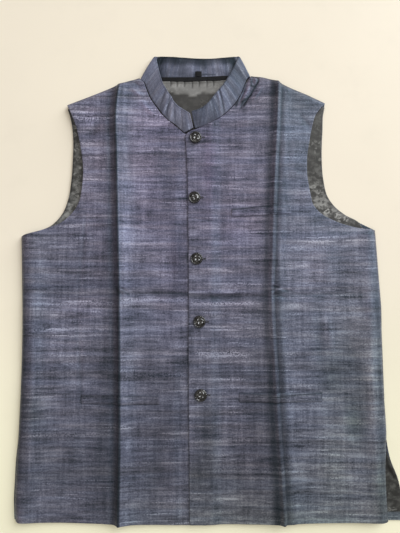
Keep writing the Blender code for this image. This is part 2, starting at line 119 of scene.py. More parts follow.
# Fronts: outer and inner point of each row, from the hem to the shoulder, and 1 at a corner,
# or 2 where only the inner edge has one
RIGHT_FRONT_ROWS = [
    ((-272.5, -377.2), (11, -382.6), 1), ((-274, -350), (11, -355), 0), ((-273.5, -300), (11, -303), 0),
    ((-271.5, -250), (11, -253), 0), ((-270.6, -204), (11, -207), 0), ((-270.4, -191.6), (11, -198.6), 0),
    ((-270, -150), (11, -154), 0), ((-270.5, -105), (11, -107), 0), ((-271.5, -66), (11, -67), 0),
    ((-272, -42.5), (11, -45.5), 0), ((-272.8, -20), (11, -20), 0), ((-274.5, 12), (11, 10), 0),
    ((-276, 45.5), (11, 38), 1), ((-239, 57.4), (11, 56), 0), ((-214.7, 67.6), (11, 74), 0),
    ((-196, 85), (11, 95), 0), ((-187, 102.5), (11, 120), 0), ((-184, 120), (11, 147), 0),
    ((-182.6, 137), (11, 175), 0), ((-182.4, 150), (11, 200), 2), ((-183.2, 160), (-23.4, 208.6), 2),
    ((-184.6, 171), (-40, 222.7), 0), ((-186.6, 184), (-60.2, 241.2), 0),
    ((-189.6, 200), (-70.5, 255.6), 0), ((-194.6, 220), (-78.2, 267.4), 0),
    ((-199.6, 233.5), (-84.8, 283), 0), ((-205, 246), (-89, 294.6), 0),
    ((-210.4, 256.1), (-96.2, 300.4), 1),
]
LEFT_FRONT_ROWS = [
    ((277, -377.4), (-15.2, -381.4), 1), ((275.4, -350), (-15.6, -355), 0), ((274.8, -300), (-16, -303), 0),
    ((279, -252), (-16.6, -253), 0), ((277.5, -202.6), (-17.1, -203.6), 0),
    ((277.2, -191), (-17.1, -191), 0), ((276.5, -150), (-17.3, -150), 0), ((276.6, -105), (-17.5, -105), 0),
    ((277.2, -64), (-17.5, -68), 0), ((276.2, -41.7), (-17.6, -45.5), 0), ((274.9, -18), (-17.7, -20), 0),
    ((273.4, 14), (-17.8, 14), 0), ((271.2, 55), (-18.2, 44), 1), ((238, 60), (-18.4, 54), 0),
    ((208.3, 69.8), (-18.5, 64), 0), ((186.2, 82.9), (-18.6, 74.2), 0), ((175.6, 95.5), (-18.7, 85.5), 0),
    ((171.6, 112), (-19, 112), 0), ((168.6, 128), (-19.8, 140), 0), ((167, 143), (-20.8, 167), 0),
    ((166.8, 155), (-22, 192), 0), ((167, 165), (-22.6, 206), 0), ((167.4, 172), (-17, 211.4), 0),
    ((168.6, 181), (-4, 216.4), 0), ((170.8, 193), (14.6, 225.5), 0), ((173.4, 208), (34.9, 238), 0),
    ((177, 223), (46.3, 248.4), 0), ((181.4, 237.5), (56.6, 260.2), 0), ((187, 246), (65.6, 275.8), 0),
    ((192.6, 252.6), (72.4, 292), 0), ((198.2, 258.6), (80.6, 303), 1),
]
# Back: right and left point of each row, share of the shoulders' rise, and 1 at a corner
BACK_ROWS = [
    ((-275.4, -376), (304.4, -377), 0, 1), ((-276.9, -347), (300.9, -347), 0, 0),
    ((-276.3, -318), (295.4, -318), 0, 0), ((-275.6, -290), (285.2, -290), 0, 0),
    ((-273.4, -262), (280.4, -262), 0, 0), ((-271.9, -190), (279, -190), 0, 0),
    ((-272, -105), (278.2, -105), 0, 0), ((-274, -40), (277.2, -40), 0, 0), ((-276, 5), (275.2, 5), 0, 0),
    ((-278, 46.4), (272.6, 55.9), 0, 1), ((-251.8, 53.3), (248, 68.2), 0.03, 0),
    ((-232, 63.6), (227, 80.2), 0.06, 0), ((-215.2, 82.3), (209.2, 95.6), 0.12, 0),
    ((-206.8, 104), (200, 110), 0.2, 0), ((-202.2, 135.8), (194, 135.8), 0.33, 0),
    ((-200.7, 167.9), (192.2, 167.9), 0.5, 0), ((-200.6, 193), (192.9, 193), 0.65, 0),
    ((-202.4, 216.4), (194.4, 216.4), 0.8, 0), ((-206.7, 239.2), (195.5, 239.2), 0.93, 0),
    ((-210.6, 256.4), (198.4, 258.8), 1, 1),
]
# Rise of the shoulder and back neck line over the line between the shoulder tips: x, rise
SHOULDER_RISE = [
    (-210.6, 0), (-96.2, 43.4), (-89.5, 40.2), (-80, 40), (-6, 40), (68, 43.2), (76, 43.8), (80.6, 45.6),
    (100, 41.8), (118, 36.2), (129, 30.6), (146.2, 23.2), (167.9, 14.6), (189.8, 4.4), (198.4, 0),
]
# How far the lining's edges lie inside the back's
LINING_SIDE = 7.0
LINING_ARMHOLE = 0.7
LINING_VENT = 1.2
LINING_UNDERARM = (14.0, -7.8)
LINING_SHOULDER = 6.5
LINING_HEM = 13.0
UNDERARM_ROW = 9

# Collar: seam and top edge of each ruling, at the middle of the wall
COLLAR_ROWS = [
    ((-11.6, 217.8, 9.6), (-16.6, 235.2, 19.5)), ((-18, 214.2, 9.2), (-21.4, 238.6, 19)),
    ((-24.4, 211.4, 7), (-26.6, 241.9, 18.5)), ((-38.4, 224.8, 5.9), (-34, 247.4, 17.5)),
    ((-48.5, 232, 5.8), (-40.2, 254, 16.5)), ((-58.6, 242.9, 5.8), (-45.4, 263.6, 15.5)),
    ((-69.1, 256.8, 5.8), (-53.3, 276.5, 14)), ((-76.8, 268.3, 5.8), (-58.9, 287, 12.5)),
    ((-83.3, 283.7, 5.8), (-64.2, 304, 10.5)), ((-86.9, 293, 5.9), (-67.6, 317.5, 8.8)),
    ((-76, 298.8, 1.1), (-63.5, 336.7, 1.1)), ((-60, 299.3, 1.1), (-50, 336.4, 1.1)),
    ((-36, 299.3, 1.1), (-29, 335.2, 1.1)), ((-6, 299.3, 1.1), (-3.2, 333.5, 1.1)),
    ((18, 300.2, 1.1), (16, 333.3, 1.1)), ((48, 301.6, 1.1), (40, 335.2, 1.1)),
    ((62, 303.4, 1.1), (54, 336.4, 1.1)), ((73.2, 298, 6), (57.8, 323.6, 8.8)),
    ((69.9, 289.5, 6), (51.6, 311, 10.5)), ((64.8, 276.3, 6), (44.6, 297, 12.5)),
    ((55.8, 260.8, 6), (37.4, 285, 14)), ((45.6, 249.1, 6.1), (29, 274.2, 15.5)),
    ((34.3, 238.9, 6.5), (20.2, 262.6, 16.5)), ((14.1, 226.4, 7.9), (10.2, 250.2, 18)),
    ((1.4, 220, 8.9), (1.5, 243.4, 19)), ((-7.2, 217.3, 9.4), (-12.2, 238.4, 19.5)),
]
RIGHT_TURN = ((-95.2, 297.9), (-73.6, 335.6))
LEFT_TURN = ((79.8, 303.5), (64.0, 335.6))
TURN_RADIUS = 2.4
TURN_STEPS = 9
RIGHT_TURN_AFTER = 10
LEFT_TURN_AFTER = 17
FRONT_NOTCH = 2
BAND_HEIGHT = 33.0
BAND_DEPTH = 36.0

# Welts: bottom row and top row as y at the two ends, and the x where they start and end
RIGHT_HIP_WELT = ((-205.6, -206.6), (-193.9, -196.9), -178.0, -61.0)
LEFT_HIP_WELT = ((-203.4, -202.9), (-191.0, -191.0), 59.5, 182.0)
CHEST_WELT = ((77.2, 81.2), (89.0, 93.7), 49.5, 139.7)
BUTTONS = [(-6.9, 201.8), (-8.5, 106.6), (-5.2, 11.4), (-0.9, -84.3), (1.2, -193.5)]

# Creases of the fronts: from x, y to x, y, half width, height over the cloth (troughs below 0)
RIGHT_CREASES = [
    (-128, -41, 0, -41, 2.4, -0.6), (-270, -43, -130, -43, 3, -0.4), (-178, -193, -61, -196.2, 1.3, -0.75),
    (-178, -206.2, -61, -207.2, 1.2, -0.5), (-122, -50, -128, -30, 3, -1.2),
    (-272, -354, -20, -358, 1.6, -0.3), (-123, -32, -110, -39, 1.8, -1.1),
    (-128, -33, -116, -46, 2.6, -0.9), (-95, 262, -72, 240, 4, 0.8), (-110, 283, -90, 268, 3.5, 0.9),
    (-106, 292, -94, 285, 2.5, -0.7), (-176, 80, -186, -60, 2.2, -0.6), (-186, -60, -176, -226, 2.2, -0.6),
    (-266, 50, -262, -350, 8, -0.9), (-250, -20, -250, -330, 7, 0.5), (-150, 240, -175, 200, 7, -0.8),
    (-45, 190, -52, 60, 14, -0.7), (-60, 20, -48, -25, 10, 0.6), (-215, -120, -160, -128, 8, 0.5),
    (-60, -250, -70, -350, 14, -0.6),
]
LEFT_CREASES = [
    (-22, -46.5, 104, -47.5, 5, -0.55), (18, -50, 62, -51, 2.4, -0.2), (92, -42, 118, -35, 1.8, -1),
    (-16, -357, 275, -354, 1.6, -0.3), (-22, -38, 108, -40, 5, 0.6), (-22, -55, 108, -57, 5, 0.5),
    (122, -44, 272, -41, 3, -0.6), (60, -190.2, 182, -190.2, 1.3, -0.8),
    (60, -203.8, 182, -203.4, 1.2, -0.5), (50, 89.8, 139, 94.4, 1.3, -0.8),
    (50, 76.6, 139, 80.6, 1.2, -0.35), (110, -31, 140, -38, 2.2, -1.3), (112, -44, 132, -48, 2.4, -0.9),
    (112, -40, 128, -32, 2, 0.8), (-16, 75, 28, 68, 1.6, -0.5), (82, 6, 200, 13, 1.8, -0.45),
    (84, 10, 198, 17, 2, 0.4), (120, 12, 270, 16, 1.8, -0.35), (84, 303, 83, 291, 1.7, -0.8),
    (83, 291, 87, 286, 1.7, -0.8), (87, 286, 92, 291, 1.7, -0.8), (92, 291, 92.6, 301, 1.7, -0.8),
    (88, 299, 88, 292, 1.6, 0.9), (78, 300, 62.5, 259, 1.8, -1.1), (90, 284, 64, 250, 1.8, -1.1),
    (80, 288, 68, 262, 2, 0.8), (96, 280, 84, 262, 2.2, 0.8), (192, -75, 200, -128, 5, 0.8),
    (180, -70, 184, -150, 6, -0.6), (155, 240, 176, 215, 5, -0.7), (150, 150, 165, 145, 3, -0.5),
    (140, 60, 240, 40, 12, 0.6), (225, -100, 250, -210, 12, -0.8), (210, -200, 232, -330, 12, 0.7),
    (40, 190, 32, 40, 14, -0.6), (-14, 190, 12, 196, 3, -0.7), (268, 40, 271, -330, 5, -0.9),
    (256, 20, 258, -330, 5, 0.5), (50, -240, 62, -360, 14, -0.6),
]
# Picks with thick slubs: side, x from, x to, y, half width, strength
SLUB_ROWS = [
    (1, -15, 94, -57.8, 1.6, 0.9), (1, 34, 108, -29, 1.4, 0.5), (1, 22, 60, -36.5, 1.4, 0.25),
    (1, 8, 94, -74.4, 2, 0.35), (1, 55, 115, -94, 1.8, 0.5), (1, 38, 94, -107.5, 2, 0.35),
    (1, -6, 68, -131.5, 2.2, 0.9), (1, 8, 75, -136.7, 2, 0.6), (1, 128, 152, -60.8, 2.4, 0.6),
    (1, 128, 152, -72.9, 2, 0.5), (1, 128, 146, -134.5, 2.4, 0.5), (1, -6, 92, -259.3, 2, 0.35),
    (1, 15, 148, -302.5, 2, 0.3), (1, 144, 183, -178.9, 2, 0.4), (1, 63, 88, 227.4, 1.8, 0.3),
    (1, 132, 200, 28, 2, 0.3), (-1, -198, -129, 232.2, 2.2, 0.8), (-1, -116, -21, -51.7, 2.2, 0.45),
    (-1, -259, -128, -57.8, 2.2, 0.4), (-1, -258, -136, -97, 2, 0.35), (-1, -114, -21, -165.6, 2, 0.3),
    (-1, -253, -131, -252.1, 2.2, 0.45), (-1, -112, -30, -268, 2, 0.3), (-1, -181, -138, 169.5, 2, 0.35),
    (-1, -120, -25, 34.2, 2, 0.3), (-1, -112, -25, 125, 2, 0.25),
]
# Shadow and light lines of the creases: from x, y to x, y, half width, change of tone
RIGHT_STROKES = [
    (-100, -40.5, -64, -41.5, 2.6, -0.25), (-70, -40, -22, -43.5, 4.6, -0.48),
    (-104, -52, -20, -60, 3.5, 0.12), (-118, -38, -108, -44, 1.6, -0.5),
    (-21.5, 206, -19.8, 192, 1.7, -0.6), (-21, 118, -19.6, 104, 1.6, -0.55),
    (-20, 20, -19.2, 4, 1.5, -0.55), (-121, 284, -126, 262, 2.5, -0.35),
    (-178.3, -195, -130, -195.6, 1.2, -0.4), (-112, -195.4, -60, -195.2, 1.2, -0.5),
    (-178, -195, -177, -206, 1.2, -0.4), (-92, -206.4, -60, -206.8, 1.2, -0.45),
]
LEFT_STROKES = [
    (-17, -44.5, 20, -47.5, 4.4, -0.42), (24, -49.5, 58, -47.5, 5.4, -0.36),
    (64, -46.5, 98, -47.5, 5, -0.24), (15, -40, 20, -53, 2.4, -0.42), (38, -30, 108, -27, 1.6, 0.22),
    (110.4, -25.7, 124, -32.8, 1.1, 1.1), (124, -32.8, 137.9, -33.4, 1.1, 0.7),
    (110.3, -41, 116.5, -35, 1.1, 0.9), (116.5, -35, 129, -34.9, 1.1, 0.6),
    (113, -38.5, 134, -38.5, 2.2, -0.5), (112, -29.5, 121, -32.5, 1.4, -0.4),
    (73.2, 297, 78.5, 301, 1.4, -0.95), (78.5, 301, 90, 299, 1.3, -0.85),
    (91.5, 298, 91.5, 290, 1.6, -0.93), (91.5, 290, 87, 283.5, 1.6, -0.93), (87, 283.5, 81, 285, 1.4, -0.9),
    (81, 285, 80.5, 292, 1.3, -0.8), (84.5, 297, 84.5, 288, 0.9, 0.5), (88, 297, 88, 290, 0.8, 0.4),
    (72.2, 294, 61, 268.2, 1.6, -0.93), (61, 268.2, 57, 251.9, 1.5, -0.8), (75.5, 290, 66, 268, 1.6, 0.35),
    (86, 282, 69, 252.5, 1.6, -0.92), (81.8, 271, 66.8, 260, 1.4, -0.88),
    (66.8, 260, 64.9, 249.9, 1.4, -0.8), (77, 280, 70, 268, 1.8, 0.4), (117, 289, 117, 270, 5, -0.5),
    (131, 291, 140, 270, 2.5, -0.4), (124, 282, 122, 215, 1.3, 0.25), (-19, 189, -8, 190, 1.2, -0.55),
    (49.5, 87.4, 117, 93.4, 1.2, -0.7), (59.3, -190.5, 114.2, -195.8, 1.4, -0.5),
    (114.2, -195.8, 182, -190.8, 1.3, -0.75), (59.5, -202.5, 114, -205, 1.3, -0.5),
    (114, -205, 182, -199.5, 1.2, -0.45), (181.5, -190.8, 181.5, -199.5, 1.2, -0.35),
    (117, 93.4, 139, 92.4, 1.2, -0.5), (-8, 190, 6, 196.5, 1.1, -0.5), (-17.5, 206, -17.5, 194, 1.2, -0.4),
]
# Painted shade, light and sheen tint of the cloth's soft undulations, mostly darker towards the hem:
# x, y, half width, half height, then one change of tone, or one for each of red, green and blue
RIGHT_LIGHT_AND_SHADE = [
    (0, 110, 170, 210, 0.1, 0, 0.09), (-270, -150, 22, 260, -0.26), (-55, 232, 50, 24, 0.62, 0.56, 0.6),
    (-90, 165, 22, 85, 0.34, 0.3, 0.3), (-168, 170, 24, 95, 0.3, 0.28, 0.28),
    (-175, 232, 20, 20, 0.5, 0.48, 0.48), (-34, 5, 17, 56, -0.4, -0.42, -0.38),
    (-52, -245, 42, 90, -0.44, -0.46, -0.46), (-190, -290, 90, 70, -0.26, -0.26, -0.28),
    (-250, -220, 16, 30, -0.42, -0.42, -0.45), (-222, -115, 18, 50, 0.3, 0.28, 0.26),
    (-182, -66, 42, 16, 0.32, 0.3, 0.3), (-256, 28, 18, 18, 0.45, 0.42, 0.4),
    (-40, -390, 140, 50, -0.04, 0, -0.1), (-146, -265, 12, 80, -0.34), (-137, 40, 13, 260, -0.32),
    (-150, -312, 260, 15, -0.2), (-150, -28, 260, 11, -0.18, -0.18, -0.16), (-100, -163, 170, 12, -0.16),
    (-108, 282, 12, 24, -0.22), (-180, -300, 160, 180, -0.1, -0.12, -0.1),
]
LEFT_LIGHT_AND_SHADE = [
    (20, 130, 100, 180, 0.07, -0.02, 0.06), (150, 190, 34, 80, 0.08, 0.12, 0.11),
    (160, 268, 44, 28, -0.42, -0.44, -0.46), (18, 160, 15, 75, -0.16, -0.24, -0.18),
    (58, 60, 30, 30, 0.34, 0.32, 0.34), (166, 0, 34, 46, 0.62, 0.6, 0.58),
    (234, -45, 17, 110, 0.55, 0.55, 0.48), (262, -155, 14, 60, 0.5, 0.55, 0.45),
    (202, -75, 16, 44, 0.26, 0.26, 0.24), (200, -165, 18, 38, -0.28, -0.26, -0.3),
    (230, -235, 18, 34, -0.4, -0.36, -0.42), (88, -215, 20, 150, -0.4),
    (12, -262, 18, 74, -0.5, -0.5, -0.52), (-6, -310, 14, 22, -0.36, -0.36, -0.4),
    (198, -292, 20, 56, 0.24, 0.26, 0.16), (163, 106, 15, 20, 0.34, 0.32, 0.32),
    (60, -400, 180, 80, -0.08, 0, -0.16), (230, -330, 90, 110, -0.03, 0, -0.08),
    (268, -330, 16, 60, -0.22, -0.18, -0.28), (240, -150, 60, 120, -0.05, 0, -0.07),
    (190, -378, 110, 10, 0.12, 0.2, 0.14), (30, -312, 80, 15, -0.2),
    (45, -290, 70, 60, -0.11, -0.14, -0.15), (20, -28, 70, 11, -0.18, -0.18, -0.16),
    (20, -163, 60, 12, -0.18), (132, 90, 15, 55, -0.22, -0.22, -0.2), (129, -67, 9, 24, -0.24),
    (92, -67, 14, 20, -0.24),
]
# Painted light and shade of the lining in the armholes, by the fronts' shoulder tips and in the vent: x, y,
# half width, half height, then one change of tone, or one for each of red, green and blue
LINING_LIGHT_AND_SHADE = [
    (-193, 150, 24, 90, 0.16), (-222, 80, 26, 26, 0.9, 0.95, 0.95), (-203, 250, 8, 14, -0.6),
    (187, 180, 20, 70, -0.22, -0.2, -0.22), (205, 92, 30, 26, 0.55),
    (292, -320, 26, 70, -0.42, -0.4, -0.44),
]
# Where the woven figure is painted lit by the satin's sheen: x, y, half width, half height,
# change of its strength
FIGURE_SHEEN = [
    (-8, 284, 80, 34, -0.85), (-193, 190, 20, 60, 1.2), (-205, 95, 26, 34, 1.6), (178, 105, 24, 40, 2.4),
    (215, 80, 30, 16, 1.6), (192, 165, 8, 60, 0.8), (286, -310, 18, 60, 1),
]
# Painted shadow lines by both fronts' armhole tips and in the vent, painted light lines in the vent: from x,
# y to x, y, half width, change of tone
LINING_STROKES = [
    (196, 256, 181.8, 241.3, 1.5, -0.9), (276, -280, 281.3, -299.5, 2.5, -0.95),
    (281.3, -299.5, 289, -314, 2.5, -0.95), (282.5, -284, 291.5, -304, 2.4, 0.6),
    (292, -306, 298, -322, 2.4, 0.3), (-202, 250, -196, 226, 1.4, -0.8),
]
VENT_CREASES = [
    (276, -282, 280.5, -300, 1.8, -1.2), (280.5, -300, 288.5, -317, 1.8, -1.2),
    (283, -322, 292, -338, 3, 0.7), (276, -340, 284, -356, 3, -0.5),
]
# Gathers of the lining under the neck tape: x, length
GATHERS = [(-46.5, 8), (-36.5, 10), (-24.8, 9), (-12.5, 11), (-1.3, 8.5), (11, 10), (21.5, 8)]
# Collar creases: place along the band, lean, half width, height
BAND_CREASES = [
    (14, 5, 3, -0.5), (30, 10, 2.2, -0.9), (37, 10, 3, 0.7), (46, 12, 2.2, -1.3), (53, 12, 3, 0.9),
    (61, 10, 2.4, -1.1), (70, -4, 4, 0.5), (84, 4, 3, -0.5), (98, 4, 5, 0.4), (300, 4, 4, -0.4),
    (318, 6, 5, 0.4), (338, -4, 3, -0.5), (353, -12, 1.7, -1.5), (358.5, -12, 2.2, 1), (372, -6, 3, -0.5),
    (386, -8, 3, 0.5), (397, -6, 2, -0.6),
]
# Painted light and shade along the band: lighter on the wearer's right side, which faces away from the
# light, darker in the back and on the wearer's left side: place, tone
BAND_LIGHT_AND_SHADE = [
    (0, 1.45), (34, 1.75), (58, 1.2), (90, 1), (126, 0.95), (134, 0.8), (272, 0.72), (283, 0.6), (330, 0.7),
    (348, 0.95), (362, 0.72), (410, 0.62),
]
# Painted shade and light of the soft roll inside the back of the band, dark lines near its ends and a dark
# stitch line from the tab: from x, y to x, y, half width, change
BAND_STROKES = [
    (-54.4, 330, -54.4, 304, 1.2, -0.35), (41.6, 332, 41.6, 306, 1.1, -0.45),
    (36.5, 330, 37.5, 310, 1, -0.25), (2, 307.4, 24, 306.6, 1.3, -0.6), (-50, 307, -30, 304, 1.2, 0.35),
    (-44, 322, -10, 320, 6.5, 0.55), (14, 320, 34, 324, 6, 0.6), (5, 333, 9, 318, 4.5, -0.45),
    (-20, 308, -12, 312, 4, 0.25),
]
# Button: share of the radius, height
BUTTON_PROFILE = [
    (0, 1.7), (0.08, 1.75), (0.2, 2.35), (0.32, 2.45), (0.46, 2.3), (0.6, 1.95), (0.68, 1.55), (0.72, 1.5),
    (0.77, 1.9), (0.82, 2.45), (0.87, 2.6), (0.92, 2.45), (0.97, 2), (1, 1.4), (1, 0.9), (0.97, 0.35),
    (0.9, 0.05), (0.7, 0), (0, 0),
]
BUTTON_TURNS = (0.55, 1.15, 0.75, 1.0, 0.6)
BUTTON_BEADS = 9.0
KNOB_AT = 0.44
KNOB_WIDTH = 0.17
KNOB_HEIGHT = 1.25
BUTTON_SEAT = 0.98
HOLE_START = 8.0
HOLE_END = 13.0
HOLE_BITE = 1.5
HOLE_STITCH = 0.75

# Tables of each front, the wearer's right as -1 and left as 1
FRONTS = {
    -1: (RIGHT_FRONT_ROWS, RIGHT_RIDGE, RIGHT_CREASES, RIGHT_STROKES, RIGHT_LIGHT_AND_SHADE),
    1: (LEFT_FRONT_ROWS, LEFT_RIDGE, LEFT_CREASES, LEFT_STROKES, LEFT_LIGHT_AND_SHADE),
}


# Curves


def cubic(t, start, leave, end, arrive):
    """Cubic from start to end, with the slopes it leaves and arrives by."""
    ends = start * (2 * t**3 - 3 * t**2 + 1) + end * (3 * t**2 - 2 * t**3)
    return ends + leave * (t**3 - 2 * t**2 + t) + arrive * (t**3 - t**2)


def spline(table, value, column=1):
    """Smooth reading of a table: a cubic between rows, its slope the mean of the two sides."""
    rows = np.array(sorted(table), float)
    knots, heights = rows[:, 0], rows[:, column]
    slopes = np.gradient(heights, knots)
    value = np.clip(value, knots[0], knots[-1])
    i = np.clip(np.searchsorted(knots, value) - 1, 0, len(knots) - 2)
    wide = knots[i + 1] - knots[i]
    t = (value - knots[i]) / wide
    return cubic(t, heights[i], slopes[i] * wide, heights[i + 1], slopes[i + 1] * wide)


def along(table, value):
    """Straight reading of a table of pairs."""
    return np.interp(value, *np.array(sorted(table), float).T)


def ease(value):
    """Smooth step from 0 to 1."""
    value = np.clip(value, 0.0, 1.0)
    return value * value * (3.0 - 2.0 * value)


def bump(value, at, half):
    """exp(-((value - at) / half)^2)."""
    return np.exp(-(((value - at) / half) ** 2))


def curve_through(points, corners, at):
    """Smooth curve through points, read at row numbers; it keeps its angle at the corners.

    Each stretch is a cubic whose end slopes are the length-weighted mean of its neighbours.
    """
    points = np.array(points, float)
    steps = np.diff(points, axis=0)
    lengths = np.maximum(np.linalg.norm(steps, axis=1, keepdims=True), 1e-9)
    way = steps / lengths
    before, after = np.vstack([way[:1], way]), np.vstack([way, way[-1:]])
    long_before, long_after = np.vstack([lengths[:1], lengths]), np.vstack([lengths, lengths[-1:]])
    mean = (before * long_after + after * long_before) / (long_before + long_after)
    sharp = np.array(corners, bool)[:, None]
    leave = np.where(sharp, after, mean)
    arrive = np.where(sharp, before, mean)
    i = np.clip(np.floor(at).astype(int), 0, len(points) - 2)
    t = (at - i)[:, None]
    return cubic(t, points[i], leave[i] * lengths[i], points[i + 1], arrive[i + 1] * lengths[i])


def row_numbers(first, second, spacing):
    """Row numbers that put rows about one spacing apart on the longer of two edges."""
    edges = [np.linalg.norm(np.diff(np.array(edge, float), axis=0), axis=1) for edge in (first, second)]
    counts = np.maximum(np.ceil(np.maximum(*edges) / spacing), 1).astype(int)
    stretches = [i + np.arange(count) / count for i, count in enumerate(counts)]
    return np.concatenate(stretches + [[len(counts)]])


def edge_line(points, corners, at, inward, wall):
    """Smooth edge through points, half a wall inside the outline."""
    line = curve_through(points, corners, at)
    line[:, 0] += 0.5 * wall * inward
    line[:, 1] += 0.5 * wall * (1.0 - 2.0 * at / at[-1])
    return line


def soft_noise(x, y, size, seed):
    """Smooth random waves from -1 to 1: lattice values one size apart, eased between."""
    lattice = np.random.default_rng(seed).uniform(-1.0, 1.0, (64, 64))
    u, v = x / size[0] + 20.0, y / size[1] + 20.0
    i, j = np.floor(u).astype(int), np.floor(v).astype(int)
    a, b = ease(u - i), ease(v - j)
    i, j = i % 63, j % 63
    low = lattice[i, j] * (1 - a) + lattice[i + 1, j] * a
    high = lattice[i, j + 1] * (1 - a) + lattice[i + 1, j + 1] * a
    return low * (1 - b) + high * b


# Creases, and painted shade and light


def beside(x, y, x0, y0, x1, y1, half):
    """Share of the way along a line, and exp(-(distance to it / half)^2)."""
    run_x, run_y = x1 - x0, y1 - y0
    t = np.clip(((x - x0) * run_x + (y - y0) * run_y) / (run_x**2 + run_y**2), 0.0, 1.0)
    away = (x - x0 - t * run_x) ** 2 + (y - y0 - t * run_y) ** 2
    return t, np.exp(-away / half**2)


def creases(x, y, rows):
    """Sum of listed creases: height exp(-(distance / half)^2), a quarter of it at their ends."""
    total = np.zeros_like(x)
    for *line, height in rows:
        t, near = beside(x, y, *line)
        total += height * (0.25 + 3.0 * t * (1.0 - t)) * near
    return total


def strokes(x, y, rows):
    """Product of drawn lines: 1 + change * exp(-(distance / half)^2)."""
    total = np.ones_like(x)
    for *line, change in rows:
        total = total * (1.0 + change * beside(x, y, *line)[1])
    return np.clip(total, 0.03, 2.0)


def toned(x, y, table):
    """Product of soft patches: 1 + change exp(-(x / wide)^2 - (y / tall)^2), for each colour."""
    tone = np.ones(x.shape + (3,))
    for x0, y0, wide, tall, *changes in table:
        near = bump(x, x0, wide) * bump(y, y0, tall)
        tone = tone * (1.0 + near[..., None] * np.array(changes))
    return tone


def slub_rows(x, y, sign):
    """Strength of the picks where thick slubs lie together: 1 + strength exp(-(distance / half)^2)."""
    total = np.ones_like(x)
    for side, x0, x1, at, half, strength in SLUB_ROWS:
        if side == sign:
            ends = ease((x - x0) / 14.0 + 0.5) * ease((x1 - x) / 14.0 + 0.5)
            total += strength * ends * bump(y, at + 0.01 * (x - x0), half)
    return total


# Form of the laid cloth


def ridge(x, y, table, flanks):
    """Height of one packing fold: h (0.58 exp(-r / wide) + 0.42 exp(-r / narrow)).

    The table gives h and the crest's x at y, and r is the distance to the crest, eased near it.
    """
    away = x - spline(table, y)
    wide = np.where(away < 0.0, flanks[0], flanks[1])
    narrow = np.where(away < 0.0, flanks[2], flanks[3])
    r = np.sqrt(away * away + CREST_EASE**2) - CREST_EASE
    return spline(table, y, 2) * (0.58 * np.exp(-r / wide) + 0.42 * np.exp(-r / narrow))


def ridges(x, y):
    """Both packing folds together."""
    return ridge(x, y, RIGHT_RIDGE, RIGHT_FLANKS) + ridge(x, y, LEFT_RIDGE, LEFT_FLANKS)


def pinch(x, y):
    """Fine pressed rib on each fold's crest, with a narrow trough beside it."""
    away = x - spline(LEFT_RIDGE, y)
    low = 0.85 + 0.15 * ease((20.0 - y) / 60.0)
    left = 0.2 * bump(away, 0.0, 1.2) - low * (0.7 * bump(away, 4.2, 2.6) - 0.9 * bump(away, 13.0, 5.5))
    away = x - spline(RIGHT_RIDGE, y)
    return left + 0.7 * bump(away, 0.0, 2.2) - 1.1 * bump(away, -9.0, 5.0) + 0.5 * bump(away, 9.0, 6.0)


def shoulder_y(x):
    """The y of the shoulder and back neck line."""
    return np.interp(x, (-210.6, 198.4), (256.4, 258.8)) + along(SHOULDER_RISE, x)


def lift(x, y):
    """How far the packing folds lift the back: in full at the shoulders, nothing lower down."""
    near = ease(1.0 - (shoulder_y(x) - y) / SHOULDER_FADE)
    seam = np.clip((np.abs(x - NECK_X) - 86.0) / 16.0, 0.0, 1.0)
    return ridges(x, y) * near * seam * seam


def from_side_seam(x, y, rows):
    """Distance to a front's side seam, and 60 beside the armhole."""
    seam = along([(row[0][1], row[0][0]) for row in rows if row[0][1] < UNDERARM_Y - 1.0], y)
    return np.where(y > UNDERARM_Y, 60.0, np.abs(seam - x))


def front_height(x, y, sign):
    """Underside of a front: low at the side and shoulder seams, lofted and folded between.

    z = seam level + (loft + roll) * edges + packing folds - waist fold + lap.
    """
    inside = from_side_seam(x, y, FRONTS[sign][0])
    vent = ease((-268.0 - y) / 14.0) if sign > 0 else 0.0
    from_side = np.maximum(ease(inside / 6.0), vent)
    open_neck = 1.0 - ease((np.abs(x - NECK_X) - 70.0) / 22.0)
    from_shoulder = np.maximum(ease((shoulder_y(x) - y) / 7.0), open_neck)
    edges = from_side * from_shoulder
    roll = SIDE_ROLL * (inside / SIDE_ROLL_AT) * np.exp(1.0 - inside / SIDE_ROLL_AT)
    roll = roll * ease((60.0 - y) / 12.0)
    loft = LOFT * (0.65 + 0.35 * ease((np.abs(x + 4.0) - 16.0) / 20.0))
    level = LINING_Z + (FRONT_Z - LINING_Z + loft) * edges + SHOULDER_EASE * (1.0 - from_shoulder)
    at_shoulder = np.maximum(lift(x, y), ridges(x, y) * from_shoulder)
    folds = np.where(from_shoulder < 1.0, at_shoulder, ridges(x, y) * from_side)
    waist = WAIST_FOLD_DEPTH * bump(y, spline(WAIST_FOLD, x), WAIST_FOLD_REACH)
    lap = OVERLAP_RISE * ease((LAP_END_X - x) / (LAP_END_X - LAP_FLAT_X)) if sign > 0 else 0.0
    return level + roll + folds - waist * edges + lap


def flank(away, left, right):
    """Tone beside a crest: exp(-distance / left) on one side, exp(-(distance / right)^2) on the other."""
    return np.where(away < 0.0, np.exp(np.minimum(away, 0.0) / left), bump(away, 0.0, right))


